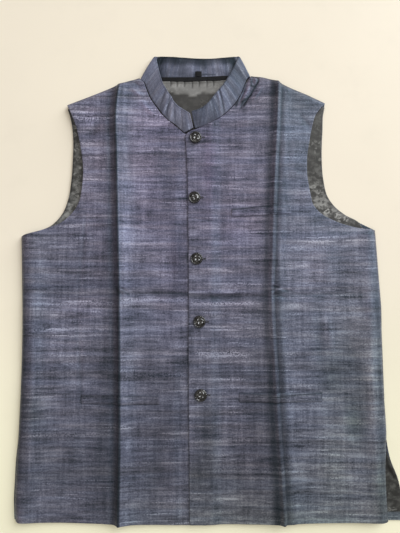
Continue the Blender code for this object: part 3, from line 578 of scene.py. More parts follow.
def painted_fold_shade(x, y):
    """Painted shade and light of the packing folds: 1 - depth * bump for each dark band beside a crest.

    The right fold has one deep painted shadow on its shaded side, deepest at the crest, and a painted
    lit band further right. The left fold has a painted shadow band on each side of a narrow bright
    crest, wider and darker lower down.
    """
    away = x - spline(RIGHT_RIDGE, y) - 1.6
    wander = 0.94 + 0.1 * soft_noise(x, y, (40.0, 14.0), 61)
    low = ease((-60.0 - y) / 120.0)
    deep = 0.52 * flank(away + 1.2, 2.6, 1.2) + 0.48 * flank(away + 1.2, 9.0, 1.2)
    tone = (1.0 - 0.94 * wander * deep) * (1.0 - 0.42 * low * flank(away, 26.0, 1.0) * (away < 1.0))
    tone = tone * (1.0 + 0.3 * bump(away, 12.0, 8.0) * ease((120.0 - y) / 60.0) * ease((y + 60.0) / 60.0))
    away = x - spline(LEFT_RIDGE, y)
    low = 0.18 + 0.34 * ease((20.0 - y) / 60.0)
    bottom = 0.45 * ease((-150.0 - y) / 60.0)
    bands = [(0.55, 5.5, 4.5), (low, 11.5, 5.5), (0.6, -8.0, 6.0), (bottom, -9.0, 10.0), (0.26, 0.5, 2.0)]
    for depth, at, half in bands:
        tone = tone * (1.0 - depth * bump(away, at, half))
    return np.clip(tone, 0.08, 1.6)


def front_surface(x, y, sign):
    """Middle of a front's wall with creases, pinches and unevenness, its painted shade and sheen, and slubs.
    """
    rows, _, crease_rows, stroke_rows, light_and_shade_rows = FRONTS[sign]
    inside = np.minimum(from_side_seam(x, y, rows), 60.0)
    below = shoulder_y(x) - y
    uneven = 0.5
    for share, size, seed in ((0.9, (52.0, 85.0), 3), (0.5, (24.0, 55.0), 8), (0.16, (34.0, 9.0), 15)):
        uneven = uneven + share * soft_noise(x, y, size, seed + sign)
    marks, rib = creases(x, y, crease_rows), pinch(x, y)
    calm = ease(inside / 10.0) * ease(below / 10.0)
    lap = 1.0 - 0.75 * ease((36.0 - np.abs(x + 4.0)) / 14.0)
    hem = 1.1 * ease((-352.0 - y) / 26.0)
    height = front_height(x, y, sign) + 0.5 * FRONT_WALL + 0.25 - hem + (marks + rib + uneven * lap) * calm
    near_seam = ease(inside / 4.0) * ease(below / 2.5)
    # Painted shade in crease troughs and painted highlight on crease ridges, times the folds' painted shade
    tone = np.clip(1.0 + (0.44 * marks + 0.25 * rib) * near_seam, 0.4, 1.35) * painted_fold_shade(x, y)
    # Painted shade where the cloth rolls down to the side seam
    tone = tone * (1.0 - 0.3 * bump(inside, 0.0, 9.0) * (y < UNDERARM_Y))
    # Painted shadow and light lines, and painted shadow along the shoulder seam
    tone = tone * strokes(x, y, stroke_rows) * (1.0 - 0.6 * bump(below, 0.0, 2.2))
    # Painted sheen: slopes facing the light, and the left front right of its fold, are drawn less red
    slope = -np.gradient(height, axis=1) / np.gradient(x, axis=1)
    turned = 0.45 * ease((x - 112.0) / 8.0) if sign > 0 else 0.0
    facing = np.clip(slope / 0.16 + turned, -1.0, 1.0)
    tone = tone[..., None] * (1.0 + facing[..., None] * np.array([-0.06, 0.0, 0.0]))
    # Painted shade, light and sheen tint of the cloth's soft undulations
    tone = tone * toned(x, y, light_and_shade_rows)
    return height, np.concatenate([tone, slub_rows(x, y, sign)[..., None]], axis=2)


# Meshes


def unit(vectors):
    """The vectors at length 1."""
    return vectors / np.maximum(np.linalg.norm(vectors, axis=-1, keepdims=True), 1e-12)


def grid_normals(points):
    """Unit normals of a grid of points."""
    return unit(np.cross(np.gradient(points, axis=1), np.gradient(points, axis=0)))


def up_normals(points):
    """Unit normals of a grid that lies flat, facing up."""
    normals = grid_normals(points)
    return normals if np.mean(normals[..., 2]) > 0.0 else -normals


def rim_indices(rows, columns):
    """Row and column of each point round the edge of a grid, in order."""
    down, across = np.arange(rows), np.arange(columns)
    i = np.concatenate([0 * across, down[1:], 0 * across[1:] + rows - 1, down[-2:0:-1]])
    j = np.concatenate([across, 0 * down[1:] + columns - 1, across[-2::-1], 0 * down[2:]])
    return i, j


def place(points):
    """Bring table places to the origin and to metres."""
    return (points - np.array([MIDDLE_X, MIDDLE_Y, 0.0])) * MM


def cloth_mesh(name, middle, wall, uv, normals=None, turns=5, shade=None):
    """Closed cloth: both faces half a wall off the middle grid, joined by a half-round edge.

    The edge is middle + wall / 2 * (normal cos a + outward sin a), for a from 0 to 180 degrees.
    """
    rows, columns = middle.shape[:2]
    normals = up_normals(middle) if normals is None else normals
    half = 0.5 * wall
    i, j = rim_indices(rows, columns)
    edge, up = middle[i, j], normals[i, j]
    outward = unit(np.cross(np.roll(edge, -1, axis=0) - np.roll(edge, 1, axis=0), up))
    inner = middle[np.clip(i, 1, rows - 2), np.clip(j, 1, columns - 2)]
    if np.sum(outward * (edge - inner)) < 0.0:
        outward = -outward
    angles = np.linspace(0.0, math.pi, turns + 2)[1:-1]
    rings = [edge + half * (up * math.cos(a) + outward * math.sin(a)) for a in angles]
    top, bottom = ((middle + side * half * normals).reshape(-1, 3) for side in (1, -1))
    points = np.concatenate([top, bottom] + rings)
    uvs = np.concatenate([uv.reshape(-1, 2)] * 2 + [uv[i, j]] * turns)
    tone = np.ones((rows, columns, 4))
    if shade is not None:
        tone[..., : shade.shape[2]] = shade
    shades = np.concatenate([tone.reshape(-1, 4)] * 2 + [tone[i, j]] * turns)

    count = rows * columns
    index = np.arange(count).reshape(rows, columns)
    corners = (index[:-1, :-1], index[:-1, 1:], index[1:, 1:], index[1:, :-1])
    upper = np.stack(corners, axis=-1).reshape(-1, 4)
    loop = index[i, j]
    levels = [loop, *(2 * count + np.arange(turns * len(loop)).reshape(turns, -1)), loop + count]
    sides = []
    for low, high in zip(levels[:-1], levels[1:]):
        sides.append(np.stack([low, high, np.roll(high, -1), np.roll(low, -1)], axis=-1))
    faces = np.concatenate([upper, upper[:, ::-1] + count] + sides)
    p = top[upper[0]]
    if np.dot(np.cross(p[1] - p[0], p[2] - p[0]), normals[0, 0]) < 0.0:
        faces = faces[:, ::-1]
    return new_piece(name, place(points), faces, uvs * MM, shades)


def new_piece(name, points, faces, uvs=None, shades=None):
    """A smooth mesh object from whole arrays of points, four-sided faces, point UVs and shades."""
    data = bpy.data.meshes.new(name)
    data.vertices.add(len(points))
    data.vertices.foreach_set("co", points.astype(np.float32).ravel())
    loops = faces.astype(np.int32).ravel()
    data.loops.add(len(loops))
    data.loops.foreach_set("vertex_index", loops)
    data.polygons.add(len(faces))
    data.polygons.foreach_set("loop_start", np.arange(0, len(loops), 4, dtype=np.int32))
    data.update(calc_edges=True)
    data.validate()
    data.polygons.foreach_set("use_smooth", np.ones(len(data.polygons), bool))
    if uvs is not None:
        layer = data.uv_layers.new(name="weave")
        layer.data.foreach_set("uv", uvs[loops].astype(np.float32).ravel())
        tone = data.attributes.new("shade", "FLOAT_COLOR", "POINT")
        tone.data.foreach_set("color", shades.astype(np.float32).ravel())
    made = bpy.data.objects.new(name, data)
    bpy.context.scene.collection.objects.link(made)
    return made


def merge(piece):
    """Close the poles of a turned mesh and point its faces outwards."""
    mesh = bmesh.new()
    mesh.from_mesh(piece.data)
    bmesh.ops.remove_doubles(mesh, verts=mesh.verts, dist=1e-7)
    bmesh.ops.recalc_face_normals(mesh, faces=mesh.faces)
    mesh.to_mesh(piece.data)
    mesh.free()


def dress(piece, material, slot, *nodes):
    """Give a piece its material and its body, and hide the nodes it stands for; the slot is not used."""
    piece.data.materials.append(material)
    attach(piece, "root")
    if nodes:
        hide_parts(*nodes)


# Materials


class Shader:
    """Short way to add and join the nodes of one material."""

    def __init__(self, name):
        self.material = bpy.data.materials.new(name)
        self.material.use_nodes = True
        self.tree = self.material.node_tree
        self.surface = self.tree.nodes["Principled BSDF"]

    def add(self, kind, inputs=None, **settings):
        """Add a node with its settings; inputs are numbers or the sockets to join."""
        node = self.tree.nodes.new("ShaderNode" + kind)
        for key, value in settings.items():
            setattr(node, key, value)
        self.feed(node, inputs or {})
        return node

    def feed(self, node, inputs):
        """Join inputs of a node to sockets, or set their numbers."""
        for key, value in inputs.items():
            if isinstance(value, bpy.types.NodeSocket):
                self.tree.links.new(value, node.inputs[key])
            else:
                node.inputs[key].default_value = value

    def uv(self):
        """The piece's own UV map, in metres along and across the weave."""
        return self.add("UVMap", uv_map="weave").outputs[0]

    def object_place(self):
        """Place in the object's own space."""
        return self.add("TexCoord").outputs["Object"]

    def shade(self, output="Color"):
        """The piece's painted shade and light, or as Alpha its slubs: 1, and more where they lie."""
        return self.add("Attribute", attribute_name="shade").outputs[output]

    def maths(self, operation, first, second=0.0, clamp=False):
        """One Math node."""
        return self.add("Math", {0: first, 1: second}, operation=operation, use_clamp=clamp).outputs[0]

    def times(self, first, second, clamp=False):
        """Product of two values."""
        return self.maths("MULTIPLY", first, second, clamp)

    def total(self, start, *parts):
        """Start, and each part times its share."""
        for part, share in parts:
            start = self.maths("ADD", start, self.times(part, share))
        return start

    def noise(self, vector, scale, detail=2.0, roughness=0.5):
        """Noise over a vector stretched by a scale for each axis."""
        stretched = self.add("Mapping", {"Vector": vector, "Scale": scale}).outputs[0]
        inputs = {"Vector": stretched, "Scale": 1.0, "Detail": detail, "Roughness": roughness}
        return self.add("TexNoise", inputs).outputs["Fac"]

    def wave(self, vector, scale, distortion, direction):
        """Fine parallel threads or ribs."""
        inputs = {"Vector": vector, "Scale": scale, "Distortion": distortion}
        return self.add("TexWave", inputs, bands_direction=direction).outputs["Fac"]

    def band(self, value, low, high, to_low=0.0, to_high=1.0):
        """Spread the values between low and high over a new range, held at its ends."""
        inputs = {0: value, 1: low, 2: high, 3: to_low, 4: to_high}
        return self.add("MapRange", inputs, interpolation_type="SMOOTHSTEP").outputs[0]

    def mix(self, factor, first, second, blend="MIX"):
        """Mix two colours."""
        inputs = {0: factor, 6: first, 7: second}
        return self.add("Mix", inputs, data_type="RGBA", blend_type=blend).outputs[2]

    def ramp(self, value, stops):
        """Colour ramp from (place, colour) stops."""
        node = self.add("ValToRGB", {0: value})
        elements = node.color_ramp.elements
        while len(elements) < len(stops):
            elements.new(0.5)
        for element, (at, colour) in zip(elements, stops):
            element.position = at
            element.color = (*colour, 1.0)
        return node.outputs[0]

    def finish(self, colour, roughness, height, strength, distance, **values):
        """Join colour, roughness and bump, and set the plain numbers on the shader itself."""
        relief = self.add("Bump", {"Height": height, "Strength": strength, "Distance": distance})
        self.feed(self.surface, {"Base Color": colour, "Roughness": roughness, "Normal": relief.outputs[0]})
        for key, value in values.items():
            label = key.replace("_", " ").title().replace("Ior", "IOR")
            self.feed(self.surface, {label: value})
        return self.material


def slub_cloth(name, lighter=1.0, contrast=1.0):
    """Slub weave on the piece's UV map: long uneven weft streaks, thick slubs and fine warp."""
    s = Shader(name)
    uv = s.uv()
    offset = s.add("CombineXYZ", {1: s.times(s.noise(uv, (7.0, 7.0, 1.0)), 0.005)}).outputs[0]
    weft = s.add("VectorMath", {0: uv, 1: offset}, operation="ADD").outputs[0]
    long_streak = s.noise(weft, (24.0, 230.0, 1.0), 3.0, 0.58)
    short_streak = s.noise(weft, (150.0, 480.0, 1.0), 2.0, 0.6)
    speckle = s.noise(uv, (420.0, 440.0, 1.0), 2.0, 0.6)
    patch = s.band(s.noise(weft, (7.0, 26.0, 4.0)), 0.45, 0.62)
    thick = s.band(s.noise(weft, (13.0, 230.0, 1.0)), 0.585, 0.70)
    thick = s.times(thick, s.band(speckle, 0.35, 0.6, 0.1, 1.0))
    thick = s.times(thick, s.total(0.25, (patch, 0.75)))
    laid = s.times(s.maths("SUBTRACT", s.shade("Alpha"), 1.0), s.band(speckle, 0.34, 0.66))
    thick = s.maths("ADD", thick, laid, clamp=True)
    thin = s.band(s.noise(weft, (15.0, 220.0, 2.0), 2.0, 0.4), 0.30, 0.42, 1.0, 0.0)
    streaks = [
        (s.noise(weft, (3.5, 250.0, 1.0), 1.0), 0.5),
        (long_streak, 0.88),
        (short_streak, 0.52),
        (speckle, 0.8),
        (s.noise(weft, (9.0, 56.0, 1.0), 3.0, 0.6), 0.66),
        (s.noise(weft, (24.0, 32.0, 1.0), 3.0, 0.6), 0.7),
        (s.noise(uv, (190.0, 14.0, 1.0), 3.0, 0.6), 0.6),
        (s.noise(uv, (7.0, 9.0, 5.0)), 0.35),
    ]
    # Each noise is around 0.5, so that half of its share comes off the start
    start = 0.45 - 0.5 * contrast * sum(share for _, share in streaks)
    parts = streaks + [(thick, 0.85), (thin, -0.1)]
    value = s.total(start, *((part, share * contrast) for part, share in parts))
    # lighter draws the whole cloth lighter: a painted-light copy, used for the collar band
    tones = (looks().cloth_dark, looks().cloth_mid, looks().cloth_light)
    stops = [(at, [lighter * part for part in tone]) for at, tone in zip((0.0, 0.45, 1.0), tones)]
    colour = s.ramp(value, stops)
    hue = s.band(s.noise(weft, (5.0, 90.0, 3.0)), 0.35, 0.65)
    colour = s.mix(s.times(hue, 0.6), colour, (0.86, 0.95, 1.08, 1.0), "MULTIPLY")
    # Painted shade and light from the piece's shade attribute
    colour = s.mix(1.0, colour, s.shade(), "MULTIPLY")
    threads = [(s.wave(uv, 340.0, 0.6, "Y"), 0.16), (s.wave(uv, 420.0, 0.4, "X"), 0.1)]
    height = s.total(0.0, *threads, (long_streak, 0.9), (thick, 0.5), (short_streak, 0.5))
    return s.finish(
        colour, s.band(short_streak, 0.3, 0.7, 0.54, 0.43), height, 0.55, 0.0006,
        specular_ior_level=0.42 if lighter == 1.0 else 0.3, specular_tint=(0.5, 0.78, 1.0, 1.0),
        sheen_weight=0.04, sheen_roughness=0.45, sheen_tint=(0.72, 0.8, 1.0, 1.0),
    )


def figured_satin(name):
    """Satin with a woven figure: curled leaf shapes from warped cells, shown by their own sheen."""
    s = Shader(name)
    uv = s.uv()
    warp = s.add("TexNoise", {"Vector": uv, "Scale": 70.0, "Detail": 1.0}).outputs["Color"]
    shift = s.add("VectorMath", {0: warp, 1: (0.014, 0.014, 0.0)}, operation="MULTIPLY").outputs[0]
    bent = s.add("VectorMath", {0: uv, 1: shift}, operation="ADD").outputs[0]
    cells = s.add("TexVoronoi", {"Vector": bent, "Scale": 105.0}).outputs["Distance"]
    curl = s.band(s.maths("ABSOLUTE", s.maths("SUBTRACT", cells, 0.34)), 0.05, 0.13, 1.0, 0.0)
    heart = s.band(cells, 0.08, 0.16, 1.0, 0.0)
    mottle = s.band(s.noise(uv, (170.0, 170.0, 1.0)), 0.38, 0.58)
    lit = s.band(s.noise(uv, (26.0, 30.0, 1.0)), 0.42, 0.6, 0.12, 0.5)
    figure = s.times(s.times(s.maths("MAXIMUM", curl, heart), mottle), lit)
    patchy = s.band(s.noise(uv, (95.0, 120.0, 1.0), 3.0, 0.6), 0.42, 0.66, 0.0, 0.22)
    # The figure's painted sheen, as strong as the shade attribute's Alpha
    figure, patchy = (s.times(part, s.shade("Alpha"), clamp=True) for part in (figure, patchy))
    figure = s.maths("MAXIMUM", figure, patchy)
    colour = s.mix(figure, (*looks().lining_ground, 1.0), (*looks().lining_figure, 1.0))
    # Painted shade and light from the piece's shade attribute
    colour = s.mix(1.0, colour, s.shade(), "MULTIPLY")
    height = s.total(0.0, (s.wave(uv, 900.0, 0.5, "Y"), 0.2), (figure, 0.5))
    return s.finish(
        colour, s.band(figure, 0.0, 1.0, 0.36, 0.55), height, 0.3, 0.0002,
        specular_ior_level=0.5, sheen_weight=0.15, sheen_roughness=0.4, anisotropic=0.4,
    )


def ribbed_tape(name):
    """Black woven tape with fine ribs across it."""
    s = Shader(name)
    uv = s.uv()
    worn = s.noise(uv, (220.0, 220.0, 1.0), 3.0)
    colour = s.ramp(worn, [(0.2, (0.002, 0.002, 0.003)), (0.8, (0.009, 0.009, 0.011))])
    ribs = s.wave(uv, 500.0, 0.3, "X")
    return s.finish(colour, 0.6, ribs, 0.4, 0.0002, sheen_weight=0.02, specular_ior_level=0.15)


def moulded_black(name):
    """Gloss black button plastic with faint swirls and fine scratches."""
    s = Shader(name)
    swirl = s.noise(s.object_place(), (260.0, 260.0, 260.0), 3.0)
    scratch = s.noise(s.object_place(), (2600.0, 300.0, 900.0), 2.0, 0.7)
    colour = s.mix(s.band(swirl, 0.4, 0.7), (*looks().button, 1.0), (0.010, 0.010, 0.011, 1.0))
    return s.finish(
        colour, s.band(scratch, 0.45, 0.75, 0.12, 0.22), scratch, 0.05, 0.0001,
        specular_ior_level=0.8, coat_weight=0.6, coat_roughness=0.05,
    )


def sewing_thread(name, colour):
    """Twisted thread."""
    s = Shader(name)
    twist = s.noise(s.object_place(), (1800.0, 1800.0, 1800.0))
    darker, lighter = ((*[share * part for part in colour], 1.0) for share in (0.7, 1.25))
    return s.finish(s.mix(twist, darker, lighter), 0.55, twist, 0.3, 0.0001, sheen_weight=0.2)


def pale_floor(name):
    """Pale polished floor with faint cloudy tone, with painted light towards the lower edge."""
    s = Shader(name)
    cloud = s.noise(s.object_place(), (2.2, 2.2, 2.2), 4.0, 0.55)
    fine = s.noise(s.object_place(), (14.0, 14.0, 14.0), 4.0, 0.6)
    base, deeper = ((*[share * part for part in looks().floor], 1.0) for share in (1.0, 0.965))
    colour = s.mix(s.band(cloud, 0.35, 0.65), base, deeper)
    colour = s.mix(s.times(s.band(fine, 0.5, 0.8), 0.25), colour, (0.80, 0.74, 0.62, 1.0))
    # Painted light: brighter towards the lower edge
    lower = s.band(s.add("SeparateXYZ", {0: s.object_place()}).outputs[1], 0.1, -0.36)
    colour = s.mix(lower, colour, (1.075, 1.13, 1.03, 1.0), "MULTIPLY")
    return s.finish(colour, 0.38, fine, 0.02, 0.0005, specular_ior_level=0.25)


def material(name, make, *values):
    """The named material, made once."""
    return bpy.data.materials.get(name) or make(name, *values)


# Settings


def tone_setting(name, text, *value):
    """A colour that the sidebar shows."""
    return bpy.props.FloatVectorProperty(name=name, description=text, subtype="COLOR", default=value)


def length_setting(name, text, value):
    """A length in metres that the sidebar shows."""
    return bpy.props.FloatProperty(name=name, description=text, unit="LENGTH", default=value)


class JacketLooks(bpy.types.PropertyGroup):
    """Colours of the jacket."""

    cloth_dark: tone_setting("Cloth dark", "Deepest weft streaks", 0.0175, 0.016, 0.0225)
    cloth_mid: tone_setting("Cloth", "Main tone of the slub cloth", 0.125, 0.119, 0.161)
    cloth_light: tone_setting("Cloth light", "Palest slubs", 0.325, 0.322, 0.397)
    lining_ground: tone_setting("Lining ground", "Ground of the satin", 0.034, 0.034, 0.0335)
    lining_figure: tone_setting("Lining figure", "Woven figure of the satin", 0.245, 0.245, 0.24)
    button: tone_setting("Button", "Button plastic", 0.004, 0.004, 0.0045)
    floor: tone_setting("Floor", "Pale floor", 0.925, 0.850, 0.715)


class JacketSizes(bpy.types.PropertyGroup):
    """Sizes of the finish, in metres."""

    mesh_step: length_setting("Mesh step", "Distance between rows of the fronts", 0.0023)
    button_width: length_setting("Button width", "Across one button", 0.0194)
    camera_height: length_setting("Camera distance", "From the camera to the cloth", 0.62)


def looks():
    """The scene's colours."""
    return bpy.context.scene.jacket_looks


def sizes():
    """The scene's sizes."""
    return bpy.context.scene.jacket_sizes


# Fronts, back and lining


def front_grid(sign):
    """Middle points of a front's wall and their UVs, rows straight from the outer to the inner edge.

    Columns close up at the side and at the fold's crest.
    """
    rows, crest_table = FRONTS[sign][:2]
    outer, inner = ([row[side] for row in rows] for side in (0, 1))
    heights = 0.5 * (np.array(inner)[1:, 1] + np.array(inner)[:-1, 1])
    at_waist = np.abs(heights - WAIST_ROWS[0]) < WAIST_ROWS[1]
    finer = np.select([heights > NECK_ROWS_FROM, at_waist], ROW_SHARES[:2], ROW_SHARES[2])
    at = row_numbers(outer, inner, finer * sizes().mesh_step / MM)
    outer = edge_line(outer, [row[2] == 1 for row in rows], at, -sign, FRONT_WALL)
    inner = edge_line(inner, [row[2] > 0 for row in rows], at, sign, FRONT_WALL)
    start, end = outer[:, :1], inner[:, :1]
    crest = spline(crest_table, 0.5 * (outer[:, 1:] + inner[:, 1:]))
    near = crest + FOLD_REACH * sign
    far = crest - FOLD_REACH * sign
    far = np.where(sign * (far - end) < 8.0, 0.5 * (crest + end), far)
    a = np.linspace(0.0, 1.0, FRONT_COLUMNS[0] + 1)[:-1]
    b = np.linspace(-1.0, 1.0, FRONT_COLUMNS[1] + 1)[:-1]
    c = np.linspace(0.0, 1.0, FRONT_COLUMNS[2] + 1)
    x = np.concatenate([
        start + (near - start) * (0.65 * a + 0.35 * a * a),
        near + (far - near) * (0.5 + 0.5 * np.sign(b) * (0.55 * np.abs(b) + 0.45 * b * b)),
        far + (end - far) * c,
    ], axis=1)
    y = outer[:, 1:] + (inner[:, 1:] - outer[:, 1:]) * ((x - start) / (end - start))
    straight = np.interp(x, *zip(*sorted(rows[-1][:2])))
    bowed = np.maximum(0.0, 1.0 - (len(rows) - 1 - at) / BOWED_ROWS)[:, None]
    y = y + (shoulder_y(x) - straight) * bowed
    z, shade = front_surface(x, y, sign)
    return np.stack([x, y, z], axis=2), np.stack([x, y + sign * FRONT_UV_SHIFT], axis=2), shade


class JACKET_OT_fronts(bpy.types.Operator):
    """Make the two fronts, the wearer's left lapped over the right"""

    bl_idname = "jacket.fronts"
    bl_label = "Fronts"

    def execute(self, context):
        cloth = material("slub cloth", slub_cloth)
        for node, sign, area in (("front_right", -1, 0.163), ("front_left", 1, 0.167)):
            middle, uv, shade = front_grid(sign)
            piece = cloth_mesh(node + "_cloth", middle, FRONT_WALL, uv, shade=shade)
            dress(piece, cloth, "slub_cloth", node)
        return {"FINISHED"}


def spread_columns(keys, counts):
    """Columns between key places of each row, with a set count of steps in each stretch."""
    columns = []
    for low, high, count in zip(keys[:-1], keys[1:], counts):
        columns.append(low[:, None] + (high - low)[:, None] * (np.arange(count) / count))
    return np.concatenate(columns + [keys[-1][:, None]], axis=1)


def back_grid(rows, base, wall, spacing, top_drop, neck_steps, side_steps):
    """Middle points of the back or its lining, between the side edges, the shoulders rising."""
    right, left, shares, sharp = zip(*rows)
    at = row_numbers(right, left, spacing)
    share = np.interp(at, np.arange(len(rows)), shares)
    right = edge_line(right, sharp, at, 1.0, wall)
    left = edge_line(left, sharp, at, -1.0, wall)
    middle_y = 0.5 * (right[:, 1] + left[:, 1]) + 40.0 * share
    by_right = spline(RIGHT_RIDGE, middle_y) - FOLD_REACH
    by_left = spline(LEFT_RIDGE, middle_y) + FOLD_REACH
    keys = [right[:, 0], 0.5 * (right[:, 0] + by_right), by_right]
    keys += [x + 0.0 * at for x in (RIGHT_NECK_POINT_X, -66.0, 52.0, LEFT_NECK_POINT_X)]
    keys += [by_left, 0.5 * (left[:, 0] + by_left), left[:, 0]]
    x = spread_columns(keys, (8, 7, 16, 10, neck_steps, 10, 16, 7, side_steps))
    share = share[:, None]
    slope = (x - right[:, :1]) / (left[:, :1] - right[:, :1])
    y = right[:, 1:] + (left[:, 1:] - right[:, 1:]) * slope + along(SHOULDER_RISE, x) * share
    y = y + top_drop * ease((share - 0.8) / 0.2) * ease((90.0 - np.abs(x - NECK_X)) / 6.0)
    return np.stack([x, y, base + 0.5 * wall + lift(x, y)], axis=2)


def lining_rows():
    """The back's rows, set in at the sides, the armholes, the hem and the shoulders."""
    rows = []
    for number, (right, left, share, sharp) in enumerate(BACK_ROWS):
        inset = LINING_ARMHOLE if right[1] > 50.0 else LINING_SIDE
        left_inset = LINING_VENT if left[1] < -280.0 else inset
        rise = LINING_HEM if number == 0 else 0.0
        if number == UNDERARM_ROW:
            inset = left_inset = LINING_UNDERARM[0]
            rise = LINING_UNDERARM[1]
        rise -= LINING_SHOULDER * {1: 1.0, 2: 0.45}.get(len(BACK_ROWS) - number, 0.0)
        right = (right[0] + inset, right[1] + rise)
        left = (left[0] - left_inset, left[1] + rise)
        rows.append((right, left, share, sharp))
    return rows


def lining_looks(middle):
    """Gather the lining under the neck tape and crease it in the vent; returns its painted shade and light,
    and its figure's painted sheen.
    """
    x, y = middle[..., 0], middle[..., 1]
    neck = ease((64.0 - np.abs(x + 8.0)) / 8.0) * ease((y - 236.0) / 14.0)
    edge = 273.5 + 2.4 * np.sin(x / 9.0) + 1.6 * np.sin(x / 4.1 + 1.0)
    tuck = ease((y - edge) / 2.5)
    gathers = np.zeros_like(x)
    for at, long in GATHERS:
        gathers += bump(x, at, 1.25) * ease((y - (294.0 - long)) / 3.0)
    gathers = np.clip(gathers, 0.0, 1.0)
    middle[..., 2] += neck * (0.35 * soft_noise(x, y, (26.0, 14.0), 31) + 0.75 * tuck - 0.5 * gathers)
    middle[..., 2] += 0.3 * creases(x, y, VENT_CREASES)
    # Painted sheen on the tuck under the neck tape, painted shade below it and in the gathers
    facing = 3.95 * tuck * (1.0 + 0.25 * soft_noise(x, y, (13.0, 6.0), 33))
    shade = (1.0 + neck * (facing - 0.24 * (1.0 - tuck))) * (1.0 - 0.72 * neck * gathers)
    # Painted shadow just under the neck tape
    shade = shade * (1.0 - 0.55 * neck * bump(shoulder_y(x) - y, 4.2, 2.0))
    # Painted shade along the lining's outer edges, and painted shadow and light lines
    from_edge = np.minimum(x - x[:, :1], x[:, -1:] - x) + 40.0 * ease((y - 262.0) / 4.0)
    shade = shade * (1.0 - 0.5 * bump(from_edge, 0.0, 1.4)) * strokes(x, y, LINING_STROKES)
    # Painted light and shade in the armholes and the vent
    shade = shade[..., None] * toned(x, y, LINING_LIGHT_AND_SHADE)
    return np.concatenate([shade, toned(x, y, FIGURE_SHEEN)[..., :1]], axis=2)


class JACKET_OT_back(bpy.types.Operator):
    """Make the back, flat on the floor, and its lining"""

    bl_idname = "jacket.back"
    bl_label = "Back and lining"

    def execute(self, context):
        middle = back_grid(BACK_ROWS, 0.0, BACK_WALL, 4.5, 0.0, 28, 9)
        # Painted shade: the back shows only as rims by the armholes and vent, drawn at 0.3 of its tone; the
        # turned-up hem near full tone and greener
        hem = ease((-352.0 - middle[..., 1]) / 12.0)[..., None]
        shade = 0.3 + hem * (np.array([0.9, 1.04, 0.84]) - 0.3)
        piece = cloth_mesh("back_cloth", middle, BACK_WALL, middle[..., :2], turns=3, shade=shade)
        dress(piece, material("slub cloth", slub_cloth), "slub_cloth", "back")

        spacing = np.array([1.5] * 4 + [14.0] * 5 + [2.6] * 10)
        middle = back_grid(lining_rows(), LINING_Z, LINING_WALL, spacing, LINING_SHOULDER - 1.6, 84, 36)
        shade = lining_looks(middle)
        piece = cloth_mesh("back_lining_satin", middle, LINING_WALL, middle[..., :2], turns=3, shade=shade)
        dress(piece, material("figured satin", figured_satin), "figured_satin", "back_lining")
        return {"FINISHED"}


# Collar


def turn_rulings(line, side, from_front):
    """Rulings of the half turn where the band folds over at a shoulder."""
    start, end = np.array(line, float)
    direction = unit(end - start)
    outward = np.array([-direction[1], direction[0]]) * side
    turn = np.radians(np.linspace(90.0, 270.0, TURN_STEPS)[:: 1 if from_front else -1])[:, None]
    out = -(TURN_RADIUS + 0.5 * COLLAR_WALL) * outward - TURN_RADIUS * np.cos(turn) * outward
    z = 0.5 * COLLAR_WALL + TURN_RADIUS + TURN_RADIUS * np.sin(turn)
    low = np.hstack([start + out, z])
    high = np.hstack([end + out - direction * (0.9 - 3.6 * ease((3.5 - z) / 2.4)), z])
    return list(zip(low, high))


def band_edges():
    """Seam and top edge of the band at even steps, with corners where it turns over."""
    rulings = list(COLLAR_ROWS)
    rulings[LEFT_TURN_AFTER:LEFT_TURN_AFTER] = turn_rulings(LEFT_TURN, -1.0, False)
    rulings[RIGHT_TURN_AFTER:RIGHT_TURN_AFTER] = turn_rulings(RIGHT_TURN, 1.0, True)
    seam, top = zip(*rulings)
    at = row_numbers(seam, top, 1.0)
    corners = np.zeros(len(rulings), bool)
    for first in (RIGHT_TURN_AFTER, LEFT_TURN_AFTER + TURN_STEPS):
        last = first + TURN_STEPS
        corners[[first - 1, first, last - 1, last]] = True
    top = curve_through(top, corners, at)
    corners[FRONT_NOTCH] = True
    return curve_through(seam, corners, at), top


def band_looks(x, y, up, place_along, waves):
    """Painted light and shade of the band: along it, at creases, inside the back and along its top edge."""
    # Painted shade in the creases, and painted light and shade along the band
    shade = np.clip(1.0 + 0.3 * waves, 0.5, 1.35) * spline(BAND_LIGHT_AND_SHADE, place_along)
    inner = ease((place_along - 126.0) / 6.0) * ease((place_along[0, -1] - 136.0 - place_along) / 6.0)
    below = (1.0 - up) * BAND_DEPTH
    reach = 14.0 + 3.0 * soft_noise(x, 0.0 * y, (9.0, 9.0), 46)
    ends_of_band = 0.12 * bump(x, 44.0, 14.0) + 0.1 * bump(x, -52.0, 12.0)
    # Painted shade inside the back, under its top edge and in the corners by the turns
    dark = 0.25 * bump(below, 0.0, 2.6) + (0.86 + ends_of_band) * np.exp(-((below / reach) ** 4)) - 0.22
    dark = dark + 0.8 * bump(x, -68.0, 10.0) + 0.7 * bump(x, 58.0, 10.0)
    blot = 0.24 * soft_noise(x, y, (13.0, 9.0), 47)
    inside_tone = np.clip(1.0 - dark + blot, 0.08, 1.3) * strokes(x, y, BAND_STROKES)
    # Painted shade along the top edge's rim
    shade = shade * (1.0 - inner + inner * inside_tone) * (1.0 - 0.4 * bump(below, 0.0, 1.3))
    return shade[..., None] * np.array([0.96, 1.02, 1.03])


